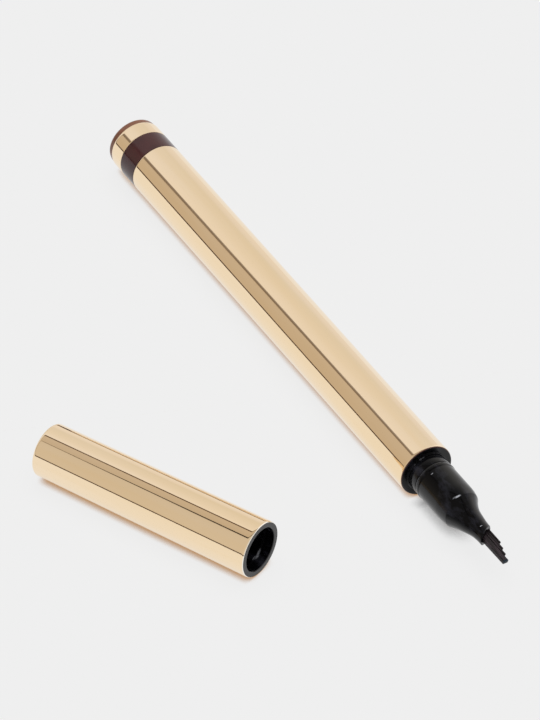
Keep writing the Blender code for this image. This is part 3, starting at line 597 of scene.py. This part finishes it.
def satin_moulding(axis, name, colour, roughness):
    """Satin injection moulding: an even colour, clouded over some 1.5 mm, with the grain of a spark-eroded
    mould, drawn 0.1 mm wide."""
    mat, tree, laid = new_finish(name, axis)
    cloud = add_node(tree, "ShaderNodeTexNoise", {"Scale": 0.8, "Detail": 3.0}, {"Vector": laid})
    darker = [channel * CLOUD_SHADE for channel in colour]
    shade = add_node(tree, "ShaderNodeMix", {
        "data_type": "RGBA", FIRST: (*colour, 1.0), SECOND: (*darker, 1.0)}, {0: cloud})
    grain = add_node(tree, "ShaderNodeTexNoise", {"Scale": 10.0, "Detail": 2.0}, {"Vector": laid})
    dull = add_node(tree, "ShaderNodeMapRange", {
        "From Min": 0.3, "From Max": 0.7, "To Min": roughness - GRAIN_SPREAD,
        "To Max": roughness + GRAIN_SPREAD}, {"Value": grain})
    skin = add_node(tree, "ShaderNodeBump", {"Strength": 0.15, "Distance": 0.01 * MM}, {"Height": grain})
    coat = add_node(tree, "ShaderNodeBsdfPrincipled", links={
        "Base Color": shade.outputs[RESULT], "Roughness": dull, "Normal": skin})
    add_node(tree, "ShaderNodeOutputMaterial", links={"Surface": coat})
    return mat


def bonded_fibre(axis, finish, name):
    """Bonded polyester fibre, soaked: strands of about 0.03 mm along the pen, drawn 0.15 mm wide."""
    mat, tree, laid = new_finish(name, axis)
    drawn = add_node(tree, "ShaderNodeMapping", {"Scale": (0.05, 1.0, 1.0)}, {"Vector": laid})
    strands = add_node(tree, "ShaderNodeTexNoise", {"Scale": 6.5, "Detail": 3.0, "Roughness": 0.6}, {
        "Vector": drawn})
    tone = add_node(tree, "ShaderNodeMapRange", {"From Min": 0.35, "From Max": 0.7}, {"Value": strands})
    shade = add_node(tree, "ShaderNodeMix", {
        "data_type": "RGBA", FIRST: (*finish.fibre, 1.0), SECOND: (*finish.fibre_light, 1.0)}, {0: tone})
    dull = add_node(tree, "ShaderNodeMapRange", {
        "From Min": 0.3, "From Max": 0.7, "To Min": 0.75, "To Max": 0.95}, {"Value": strands})
    ribbed = add_node(tree, "ShaderNodeBump", {"Strength": 0.7, "Distance": 0.05 * MM}, {
        "Height": strands})
    coat = add_node(tree, "ShaderNodeBsdfPrincipled", links={
        "Base Color": shade.outputs[RESULT], "Roughness": dull, "Normal": ribbed})
    add_node(tree, "ShaderNodeOutputMaterial", links={"Surface": coat})
    return mat


def clear_wrap(axis, finish):
    """Thin polypropylene film: clear, with the long wrinkles of a wound wrap, some 0.7 mm wide."""
    mat, tree, laid = new_finish("clear_polypropylene_film", axis)
    drawn = add_node(tree, "ShaderNodeMapping", {"Scale": (0.1, 1.0, 1.0)}, {"Vector": laid})
    wrinkles = add_node(tree, "ShaderNodeTexNoise", {"Scale": 1.5, "Detail": 3.0}, {"Vector": drawn})
    gloss = add_node(tree, "ShaderNodeMapRange", {
        "From Min": 0.3, "From Max": 0.7, "To Min": 0.08, "To Max": 0.25}, {"Value": wrinkles})
    skin = add_node(tree, "ShaderNodeBump", {"Strength": 0.4, "Distance": 0.03 * MM}, {"Height": wrinkles})
    coat = add_node(tree, "ShaderNodeBsdfPrincipled", {
        "Base Color": (*finish.film, 1.0), "Transmission Weight": 0.8, "IOR": 1.49}, {
        "Roughness": gloss, "Normal": skin})
    add_node(tree, "ShaderNodeOutputMaterial", links={"Surface": coat})
    return mat


def repaint(node, mat):
    """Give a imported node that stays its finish."""
    slots = frame["nodes"][node].data.materials
    if slots:
        for i in range(len(slots)):
            slots[i] = mat
    else:
        slots.append(mat)


# Operators

class EYEBROWPEN_OT_barrel(Operator):
    """Make the gold barrel, the shade band and the gold ring behind it"""
    bl_idname = "eyebrow_pen.barrel"
    bl_label = "Barrel, band and ring"

    def execute(self, context):
        size, finish = context.scene.eyebrow_barrel, context.scene.eyebrow_finish
        start, shell_end, radius = reach("barrel_shell", PEN)
        band_start, band_end, _ = reach("shade_band", PEN)
        _, ring_end, _ = reach("rear_ring", PEN)
        mouth = shell_end + FIT_GAP + context.scene.eyebrow_front.rim_proud * LIP_PROUD
        bore, half, e = radius - SHELL_WALL, size.seam / 2, size.edge
        band_rear = (ring_end + band_start) / 2
        band_front = (band_end + start) / 2
        gold = metallised_gold(PEN, "metallised_gold_barrel", finish, mouth / MM, finish.bare, 0.0)

        barrel = [(band_front + half, bore, 0), (band_front + half, radius, e)]
        barrel += soft_lip(mouth, radius, size.lip_length, size.lip_drop, 1) + [(mouth, bore, 0)]
        finish_piece("gold_barrel", turned(filleted(barrel)), PEN, gold, "pen",
                     ["barrel_shell"])

        band = [(band_rear + half, bore, 0), (band_rear + half, radius, e),
                (band_front - half, radius, e), (band_front - half, bore, 0)]
        lacquer = glossy_plastic(PEN, "burgundy_lacquer_band", finish.burgundy, finish.burgundy_deep)
        finish_piece("shade_sleeve", turned(filleted(band)), PEN, lacquer, "pen",
                     ["shade_band"])

        rear = size.tail_length + half
        ring = soft_lip(rear, radius, size.ring_lip, size.ring_drop, -1)[::-1]
        ring += [(band_rear - half, radius, e), (band_rear - half, bore, 0), (rear, bore, 0)]
        finish_piece("gold_ring", turned(filleted(ring)), PEN, gold, "pen",
                     ["rear_ring"])
        return {"FINISHED"}


class EYEBROWPEN_OT_plug(Operator):
    """Make the plug that closes the barrel behind, with its round edge, crush ribs and cross"""
    bl_idname = "eyebrow_pen.plug"
    bl_label = "Rear plug"

    def execute(self, context):
        size, finish = context.scene.eyebrow_barrel, context.scene.eyebrow_finish
        start, _, _ = reach("barrel_shell", PEN)
        _, front, tail = reach("rear_plug", PEN)
        _, _, boss = reach("barrel_liner", PEN)
        step = start - FIT_GAP
        spigot_end = front - PLUG_NOSE
        outline = [(0, 0, 0), (0, tail, size.tail_round), (size.tail_length, tail, size.edge),
                   (size.tail_length, boss, 0), (step, boss, size.edge), (step, PLUG_SPIGOT_R, 0),
                   (spigot_end, PLUG_SPIGOT_R, size.edge * 2), (spigot_end, PLUG_HOLLOW_R, 0),
                   (step, PLUG_HOLLOW_R, 0), (step, 0, 0)]
        bm = turned(filleted(outline, 8))
        for i in range(PLUG_RIBS):
            add_box(bm, (step + FIT_GAP, -PLUG_RIB_W / 2, PLUG_HOLLOW_R + PLUG_RIB_H),
                    (spigot_end - PLUG_RIB_W, PLUG_RIB_W / 2, PLUG_SPIGOT_R + PLUG_RIB_H),
                    2 * pi * (i + 0.5) / PLUG_RIBS)
        for turn in (0, pi / 2):
            add_box(bm, (step - PLUG_CROSS_T, -PLUG_CROSS_T / 2, -PLUG_HOLLOW_R - PLUG_RIB_H),
                    (front, PLUG_CROSS_T / 2, PLUG_HOLLOW_R + PLUG_RIB_H), turn)
        plastic = glossy_plastic(PEN, "brown_abs_plug", finish.plug, finish.plug_deep)
        finish_piece("round_plug", bm, PEN, plastic, "pen", ["rear_plug"])
        return {"FINISHED"}


class EYEBROWPEN_OT_collar(Operator):
    """Make the black collar in the barrel's mouth, with its face, base ring, groove and neck"""
    bl_idname = "eyebrow_pen.collar"
    bl_label = "Collar"

    def execute(self, context):
        size, finish = context.scene.eyebrow_front, context.scene.eyebrow_finish
        _, shell_end, radius = reach("barrel_shell", PEN)
        back, front, _ = reach("front_collar", PEN)
        mouth = shell_end + FIT_GAP
        face = mouth + size.rim_proud
        flange = radius - SHELL_WALL - FLANGE_ROOM
        rim = radius - context.scene.eyebrow_barrel.lip_drop - FLANGE_ROOM
        foot = NECK_R + size.base_ring
        groove = NECK_R - size.groove_depth
        ring_end = face + size.base_ring_length
        neck = ring_end + size.groove_length
        cover = mouth + size.rim_proud * COVER_PROUD
        outline = [(front, NECK_R, SMALL), (front, COLLAR_BORE_R, CRISP), (back, COLLAR_BORE_R, 0),
                   (back, COLLAR_SPIGOT_R, PLAIN), (face - FLANGE_LEN, COLLAR_SPIGOT_R, 0),
                   (face - FLANGE_LEN, flange, 0), (cover, flange, 0), (cover, rim, 0),
                   (face, rim, FINE), (face, foot, HAIR), (ring_end, foot, EASED),
                   (ring_end, groove, CRISP), (neck, groove, CRISP), (neck, NECK_R, EASED)]
        plastic = moulded_polypropylene(PEN, finish, "black_polypropylene_collar", sheen=NOSE_SHEEN,
                                        painted_highlight=COLLAR_PAINTED_HIGHLIGHTS)
        finish_piece("black_collar", turned(filleted(outline)), PEN, plastic, "pen",
                     ["front_collar"])
        return {"FINISHED"}


class EYEBROWPEN_OT_nozzle(Operator):
    """Make the nozzle: spigot, snap bead, head, crisp shoulder and hollowed cone with a slanted mouth"""
    bl_idname = "eyebrow_pen.nozzle"
    bl_label = "Nozzle"

    def execute(self, context):
        size, finish = context.scene.eyebrow_front, context.scene.eyebrow_finish
        back, _, _ = reach("nozzle", PEN)
        _, collar_front, _ = reach("front_collar", PEN)
        head = collar_front + FIT_GAP
        start = collar_front + size.parting
        shoulder = head + size.head_length
        tip = shoulder + size.cone_length
        channel_end = shoulder + CHANNEL_PAST
        shoulder_r = NECK_R - size.shoulder_drop
        tip_r = size.tip_radius
        bead = NECK_R + size.bead_height
        third = size.bead_length / 3
        outline = [(channel_end, 0, 0), (channel_end, CHANNEL_R, 0), (back, CHANNEL_R, 0),
                   (back, NOZZLE_SPIGOT_R, PLAIN), (start, NOZZLE_SPIGOT_R, 0), (start, NECK_R, SMALL),
                   (head + BEAD_START, NECK_R, 0), (head + third, bead, SOFT),
                   (head + 2 * third, bead, SOFT), (head + 3 * third, NECK_R, SOFT)]
        for i in range(HEAD_STEPS):
            share = i / HEAD_STEPS
            outline.append((shoulder - size.shoulder_length * (1 - share),
                            NECK_R - size.shoulder_drop * share ** 2, 0))
        outline.append((shoulder, shoulder_r, size.shoulder_round))
        straight = size.cone_length - size.tip_round
        for i in range(1, CONE_STEPS + 1):
            share = 1 - i / CONE_STEPS * straight / size.cone_length
            outline.append((shoulder + straight * i / CONE_STEPS,
                            tip_r + (shoulder_r - tip_r) * share ** size.cone_power, 0))
        outline[-1] = (tip, tip_r, size.tip_round * TIP_EASE)
        outline.append((tip, 0, 0))
        bm = turned(filleted(outline, 6))
        slant_start = shoulder - size.slant_lead
        bend_start = shoulder + size.bend_start
        for v in bm.verts:
            in_channel = v.co.x < channel_end + MERGE and hypot(v.co.y, v.co.z) < CHANNEL_R + MERGE
            if v.co.x > slant_start and not in_channel:
                slant = size.mouth_slant * (v.co.x - slant_start) / (tip - slant_start)
                bend = min(1.0, max(0.0, (v.co.x - bend_start) / size.bend_length))
                v.co.x -= slant * v.co.y
                v.co.y += size.tip_offset * bend * bend * (3 - 2 * bend)
        wide = size.nib_width / 2 + size.mouth_room
        high = size.nib_thickness / 2 + size.mouth_height
        cutter = bmesh.new()
        add_box(cutter, (channel_end - FIT_GAP, size.nib_offset - wide, -high),
                (tip + 2 * tip_r, size.nib_offset + wide, high))
        edges = [edge for edge in cutter.edges if abs(edge.verts[0].co.x - edge.verts[1].co.x) > MM]
        bmesh.ops.bevel(cutter, geom=edges, offset=SLOT_ROUND, affect="EDGES", segments=8, profile=0.5,
                        material=-1)
        bm = cut(bm, cutter)
        plastic = moulded_polypropylene(PEN, finish, "black_polypropylene_nozzle", (0.08, 0.2), NOSE_SHEEN,
                                        NOZZLE_PAINTED_HIGHLIGHTS)
        finish_piece("nozzle_cone", bm, PEN, plastic, "pen", ["nozzle"])
        return {"FINISHED"}


class EYEBROWPEN_OT_nib(Operator):
    """Make the fork nib: a flat shank and tines stepped in length, each cut off at a slant"""
    bl_idname = "eyebrow_pen.nib"
    bl_label = "Fork nib"

    def execute(self, context):
        size, finish = context.scene.eyebrow_front, context.scene.eyebrow_finish
        back, nib_end, _ = reach("fork_nib", PEN)
        _, collar_front, _ = reach("front_collar", PEN)
        tip = collar_front + FIT_GAP + size.head_length + size.cone_length
        low_side = size.nib_offset - size.nib_width / 2
        high_side = size.nib_offset + size.nib_width / 2
        half_t = size.nib_thickness / 2
        root = tip - TINE_ROOT
        bm = bmesh.new()
        shank = add_box(bm, (back, low_side, -half_t), (root + TINE_OVERLAP, high_side, half_t))
        for v in shank:
            if v.co.x < back + MERGE:
                v.co.y = size.nib_offset + (v.co.y - size.nib_offset) * SHANK_REAR
        for i in range(size.tines):
            high = high_side - (size.tines - 1 - i) * size.tine_pitch
            low = high - size.tine_pitch + size.tine_slot if i else low_side
            end = tip + size.tine_first + (size.tines - 1 - i) * size.tine_step
            rise = size.tine_slot * (TINE_RISE if i % 2 else -TINE_RISE)
            verts = add_box(bm, (root, low, rise - half_t), (end, high, rise + half_t))
            for v in verts:
                if v.co.x > end - MERGE and v.co.z < rise:
                    v.co.x -= size.tine_cut
                if v.co.x > tip and not i and v.co.y < low + MERGE:
                    v.co.y += size.tine_taper
            edges = {edge for v in verts for edge in v.link_edges}
            bmesh.ops.bevel(bm, geom=list(edges), offset=TINE_ROUND, affect="EDGES", segments=2,
                            profile=0.5, material=-1)
        bmesh.ops.recalc_face_normals(bm, faces=bm.faces)
        nylon = inked_nylon(PEN, finish, nib_end / MM, low_side / MM, high_side / MM)
        finish_piece("fork_tines", bm, PEN, nylon, "pen", ["fork_nib"])
        return {"FINISHED"}


class EYEBROWPEN_OT_inner_parts(Operator):
    """Finish the pieces inside the pen and the seal in the cap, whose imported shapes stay"""
    bl_idname = "eyebrow_pen.inner_parts"
    bl_label = "Inner parts"

    def execute(self, context):
        finish = context.scene.eyebrow_finish
        repaint("barrel_liner", moulded_polypropylene(PEN, finish, "black_polypropylene_liner",
                                                      (0.25, 0.4)))
        repaint("nib_sleeve", satin_moulding(PEN, "white_polypropylene_holder", finish.white, 0.45))
        repaint("cap_seal", satin_moulding(CAP, "soft_polyethylene_seal", finish.seal, 0.5))
        repaint("feed_wick", bonded_fibre(PEN, finish, "bonded_fibre_wick"))
        repaint("reservoir_core", bonded_fibre(PEN, finish, "bonded_fibre_core"))
        repaint("reservoir_film", clear_wrap(PEN, finish))
        return {"FINISHED"}


class EYEBROWPEN_OT_cap(Operator):
    """Make the gold cap: a tapered cup with a round closed end and a soft lip"""
    bl_idname = "eyebrow_pen.cap"
    bl_label = "Cap"

    def execute(self, context):
        size, finish = context.scene.eyebrow_cap, context.scene.eyebrow_finish
        _, shell_end, radius = reach("cap_shell", CAP)
        radius -= CAP_ROOM
        mouth = shell_end + FIT_GAP + size.lip_reach
        bore = radius - SHELL_WALL
        end_r, end_bore = radius - size.taper, bore - size.taper
        lip = soft_lip(mouth, radius, size.lip_length, size.lip_drop, 1)
        outline = [(0, 0, 0), (0, end_r, size.end_round)] + lip
        outline += [(mouth, bore, 0), (CAP_END_WALL, end_bore, 0), (CAP_END_WALL, 0, 0)]
        # The cap's lip takes the near-white metal: a painted highlight
        gold = metallised_gold(CAP, "metallised_gold_cap", finish, mouth / MM, finish.bright, 1.0)
        finish_piece("gold_cap", turned(filleted(outline, 10)), CAP, gold, "cap",
                     ["cap_shell"])
        return {"FINISHED"}


class EYEBROWPEN_OT_cap_sleeve(Operator):
    """Make the black sleeve in the cap, with its flat face, bore, snap ridge and pocket"""
    bl_idname = "eyebrow_pen.cap_sleeve"
    bl_label = "Cap sleeve"

    def execute(self, context):
        size, finish = context.scene.eyebrow_cap, context.scene.eyebrow_finish
        _, shell_end, radius = reach("cap_shell", CAP)
        back, _, _ = reach("cap_liner", CAP)
        mouth = shell_end + FIT_GAP
        face = mouth + size.sleeve_rim
        cover = mouth + size.lip_reach + FLANGE_ROOM
        outer = radius - SHELL_WALL - FLANGE_ROOM
        rim = radius - size.lip_drop - FLANGE_ROOM
        bore, third = size.sleeve_bore, size.ridge_length / 3
        ridge = mouth - size.ridge_depth
        step = mouth - size.step_depth
        floor = mouth - size.pocket_depth
        web = floor - CAP_WEB
        taper = size.taper / mouth
        outline = [(web, 0, 0), (web, size.pocket_radius, 0), (back, size.pocket_radius, 0),
                   (back, outer - taper * (mouth - back), 0), (cover, outer, 0), (cover, rim, 0),
                   (face, rim, 0), (face, bore + size.sleeve_chamfer, HAIR),
                   (face - size.sleeve_chamfer, bore, PLAIN), (ridge, bore, PLAIN),
                   (ridge - third, bore - size.ridge_height, SOFT),
                   (ridge - 2 * third, bore - size.ridge_height, SOFT),
                   (ridge - 3 * third, bore, PLAIN), (step, bore, 0),
                   (step, size.pocket_radius, 0), (floor, size.pocket_radius, 0), (floor, 0, 0)]
        plastic = moulded_polypropylene(CAP, finish, "black_polypropylene_sleeve", painted_highlight=SLEEVE_PAINTED_GLINTS)
        finish_piece("black_sleeve", turned(filleted(outline, 6)), CAP, plastic, "cap",
                     ["cap_liner"])
        return {"FINISHED"}


class EYEBROWPEN_OT_stage(Operator):
    """Set the floor, the soft light and the camera"""
    bl_idname = "eyebrow_pen.stage"
    bl_label = "Stage"

    def execute(self, context):
        stage = context.scene.eyebrow_stage
        make_floor(context.scene, stage)
        make_studio(context.scene, stage)
        make_key(context.scene, stage)
        make_camera(context.scene, stage)
        context.scene.view_settings.view_transform = "Standard"
        return {"FINISHED"}


def matt_floor(stage):
    """Matt pale board. Like a light table it glows for the camera and in reflections, which keeps shadows
    light. The glow is warm where the gold all but touches the board, and dim beside the black nose."""
    mat = bpy.data.materials.new("matt_floor")
    mat.use_nodes = True
    tree = mat.node_tree
    tree.nodes.clear()
    matt = add_node(tree, "ShaderNodeBsdfDiffuse", {"Color": (*stage.floor, 1.0)})
    close = add_node(tree, "ShaderNodeAmbientOcclusion", {
        "samples": SHADOW_SAMPLES, "Distance": stage.contact})
    clear = add_node(tree, "ShaderNodeMapRange", {
        "From Min": CONTACT_REACH[0], "From Max": CONTACT_REACH[1]}, {"Value": close.outputs["AO"]})
    touched = add_node(tree, "ShaderNodeMix", {
        "data_type": "RGBA", FIRST: (*linear(CONTACT_COLOUR), 1.0), SECOND: (*stage.floor, 1.0)}, {0: clear})

    far = add_node(tree, "ShaderNodeAmbientOcclusion", {
        "samples": SHADOW_SAMPLES, "Distance": stage.nose_shadow})
    unlit = add_node(tree, "ShaderNodeMapRange", {
        "From Min": NOSE_SHADE[0], "From Max": NOSE_SHADE[1], "To Min": NOSE_SHADE[2]}, {
        "Value": far.outputs["AO"]})
    forward = PEN.to_3x3() @ Vector((1.0, NOSE_SHADE_LEAN, 0.0))
    mouth = (PEN @ Vector((reach("barrel_shell", PEN)[1], 0, 0))).dot(forward)
    place = add_node(tree, "ShaderNodeTexCoord")
    along = add_node(tree, "ShaderNodeVectorMath", {"operation": "DOT_PRODUCT", 1: forward}, {
        0: place.outputs["Object"]})
    bright = add_node(tree, "ShaderNodeMapRange", {
        "From Min": mouth, "From Max": mouth + NOSE_SHADE_START, "To Min": 1.0}, {
        "Value": along.outputs["Value"], "To Max": unlit})
    glow = add_node(tree, "ShaderNodeEmission", links={
        "Color": touched.outputs[RESULT], "Strength": bright})

    path = add_node(tree, "ShaderNodeLightPath")
    mirrored = add_node(tree, "ShaderNodeMath", {"operation": "MAXIMUM"}, {
        0: path.outputs["Is Camera Ray"], 1: path.outputs["Is Glossy Ray"]})
    seen = add_node(tree, "ShaderNodeMath", {"operation": "MAXIMUM"}, {
        0: mirrored, 1: path.outputs["Is Transmission Ray"]})
    share = add_node(tree, "ShaderNodeMath", {"operation": "MULTIPLY", 1: stage.glow}, {0: seen})
    board = add_node(tree, "ShaderNodeMixShader", links={0: share, 1: matt, 2: glow})
    add_node(tree, "ShaderNodeOutputMaterial", links={"Surface": board})
    return mat


def make_floor(scene, stage):
    """A plain pale floor, large enough to end far outside the picture."""
    bm = bmesh.new()
    bmesh.ops.create_grid(bm, x_segments=1, y_segments=1, size=stage.floor_size / 2)
    mesh = bpy.data.meshes.new("floor")
    bm.to_mesh(mesh)
    bm.free()
    mesh.materials.append(matt_floor(stage))
    floor = bpy.data.objects.new("floor", mesh)
    scene.collection.objects.link(floor)


def gap_line(tree, across, along, middle, half, soft, side, growth):
    """How dark a gap between the panels makes a point of the sky, from 0 to 1."""
    aside = add_node(tree, "ShaderNodeMath", {"operation": "SUBTRACT", 1: middle}, {0: across})
    apart = add_node(tree, "ShaderNodeMath", {"operation": "ABSOLUTE"}, {0: aside})
    within = add_node(tree, "ShaderNodeMapRange", {
        "From Min": half, "From Max": half + soft, "To Min": 1.0, "To Max": 0.0}, {"Value": apart})
    grown = add_node(tree, "ShaderNodeMapRange", {
        "From Min": side[0], "From Max": side[1], "To Min": growth[0], "To Max": growth[1]}, {
        "Value": along})
    return add_node(tree, "ShaderNodeMath", {"operation": "MULTIPLY"}, {0: within, 1: grown})


def make_studio(scene, stage):
    """An even light from all round, a plain background, and in the reflections the panels of a studio."""
    world = bpy.data.worlds.new("studio")
    scene.world = world
    world.use_nodes = True
    tree = world.node_tree
    tree.nodes.clear()
    place = add_node(tree, "ShaderNodeTexCoord")
    ahead = add_node(tree, "ShaderNodeVectorRotate", {"rotation_type": "Z_AXIS", "Angle": -stage.heading}, {
        "Vector": place.outputs["Generated"]})
    part = add_node(tree, "ShaderNodeSeparateXYZ", links={"Vector": ahead})
    height = add_node(tree, "ShaderNodeMapRange", {"From Min": -1.0}, {"Value": part.outputs["Y"]})
    panels = add_node(tree, "ShaderNodeValToRGB", links={"Fac": height})
    stops = panels.color_ramp.elements
    for near, far, near_code, far_code in PANELS:
        for edge, code in ((near + PANEL_SEAM, near_code), (far - PANEL_SEAM, far_code)):
            stops.new((edge + 1) / 2).color = (*linear(code), 1.0)
    # The two stops that the node brings lie outside the panels
    stops.remove(stops[-1])
    stops.remove(stops[0])
    around = panels
    for letter, middle, half, soft, code, side, growth in GAPS:
        dark = gap_line(tree, part.outputs[letter], part.outputs["X"], middle, half, soft, side, growth)
        around = add_node(tree, "ShaderNodeMix", {"data_type": "RGBA", SECOND: (*linear(code), 1.0)}, {
            0: dark, FIRST: around}).outputs[RESULT]
    carded = add_node(tree, "ShaderNodeMapRange", {"From Min": CARD_SIDE[0], "From Max": CARD_SIDE[1]}, {
        "Value": part.outputs["X"]})
    studio = add_node(tree, "ShaderNodeMix", {"data_type": "RGBA", SECOND: (*linear(CARD_COLOUR), 1.0)}, {
        0: carded, FIRST: around})
    path = add_node(tree, "ShaderNodeLightPath")
    seen = add_node(tree, "ShaderNodeMath", {"operation": "MAXIMUM"}, {
        0: path.outputs["Is Camera Ray"], 1: path.outputs["Is Transmission Ray"]})
    plain = add_node(tree, "ShaderNodeMix", {
        "data_type": "RGBA", FIRST: (*[stage.sky_share] * 3, 1.0), SECOND: (*stage.floor, 1.0)}, {0: seen})
    colour = add_node(tree, "ShaderNodeMix", {"data_type": "RGBA"}, {
        0: path.outputs["Is Glossy Ray"], FIRST: plain.outputs[RESULT], SECOND: studio.outputs[RESULT]})
    sky = add_node(tree, "ShaderNodeBackground", links={"Color": colour.outputs[RESULT]})
    add_node(tree, "ShaderNodeOutputWorld", links={"Surface": sky})


def make_key(scene, stage):
    """A broad soft lamp, high up, that gives the floor its soft shadows. Its strength fills up the light
    from all round to that at which the floor's colour shows as it is written."""
    key = bpy.data.lights.new("soft_key", "SUN")
    key.angle = stage.key_spread
    key.energy = pi * (1 - stage.sky_share) / sin(stage.key_elevation)
    lamp = bpy.data.objects.new("soft_key", key)
    scene.collection.objects.link(lamp)
    heading = stage.heading + stage.key_heading
    towards = Vector((cos(heading) * cos(stage.key_elevation), sin(heading) * cos(stage.key_elevation),
                      sin(stage.key_elevation)))
    lamp.rotation_euler = towards.to_track_quat("Z", "Y").to_euler()
    lamp.visible_glossy = False


def make_camera(scene, stage):
    """A long lens at the photograph's angle, aimed beside the cap."""
    camera = bpy.data.cameras.new("camera")
    camera.sensor_width = SENSOR
    camera.lens = stage.focal_length
    camera.clip_start, camera.clip_end = CAMERA_RANGE
    holder = bpy.data.objects.new("camera", camera)
    scene.collection.objects.link(holder)
    aim = CAP.translation + Vector(CAMERA_AIM)
    aim.z = 0.0
    forward = Vector((-sin(stage.heading) * cos(stage.elevation), cos(stage.heading) * cos(stage.elevation),
                      -sin(stage.elevation)))
    holder.location = aim - forward * stage.distance
    holder.rotation_euler = forward.to_track_quat("-Z", "Y").to_euler()
    scene.camera = holder


# Panel and run

OPERATORS = (EYEBROWPEN_OT_barrel, EYEBROWPEN_OT_plug, EYEBROWPEN_OT_collar, EYEBROWPEN_OT_nozzle,
             EYEBROWPEN_OT_nib, EYEBROWPEN_OT_inner_parts, EYEBROWPEN_OT_cap, EYEBROWPEN_OT_cap_sleeve,
             EYEBROWPEN_OT_stage)
GROUPS = {"eyebrow_barrel": BarrelSizes, "eyebrow_front": FrontSizes, "eyebrow_cap": CapSizes,
          "eyebrow_finish": Finish, "eyebrow_stage": Stage}


class EYEBROWPEN_PT_panel(Panel):
    """The pen's pieces, sizes and colours"""
    bl_idname = "EYEBROWPEN_PT_panel"
    bl_label = "Eyebrow pen"
    bl_space_type = "VIEW_3D"
    bl_region_type = "UI"
    bl_category = "Pen"

    def draw(self, context):
        for operator in OPERATORS:
            self.layout.operator(operator.bl_idname)
        for name, group in GROUPS.items():
            box = self.layout.box()
            box.label(text=group.__name__)
            for prop in group.__annotations__:
                box.prop(getattr(context.scene, name), prop)


def register():
    for cls in (*GROUPS.values(), *OPERATORS, EYEBROWPEN_PT_panel):
        bpy.utils.register_class(cls)
    for name, group in GROUPS.items():
        setattr(bpy.types.Scene, name, PointerProperty(type=group))


def unregister():
    for name in GROUPS:
        delattr(bpy.types.Scene, name)
    for cls in (EYEBROWPEN_PT_panel, *OPERATORS[::-1], *list(GROUPS.values())[::-1]):
        bpy.utils.unregister_class(cls)


def main():
    register()
    bpy.ops.eyebrow_pen.barrel()
    bpy.ops.eyebrow_pen.plug()
    bpy.ops.eyebrow_pen.collar()
    bpy.ops.eyebrow_pen.nozzle()
    bpy.ops.eyebrow_pen.nib()
    bpy.ops.eyebrow_pen.inner_parts()
    bpy.ops.eyebrow_pen.cap()
    bpy.ops.eyebrow_pen.cap_sleeve()
    bpy.ops.eyebrow_pen.stage()


if __name__ == "__main__":
    main()
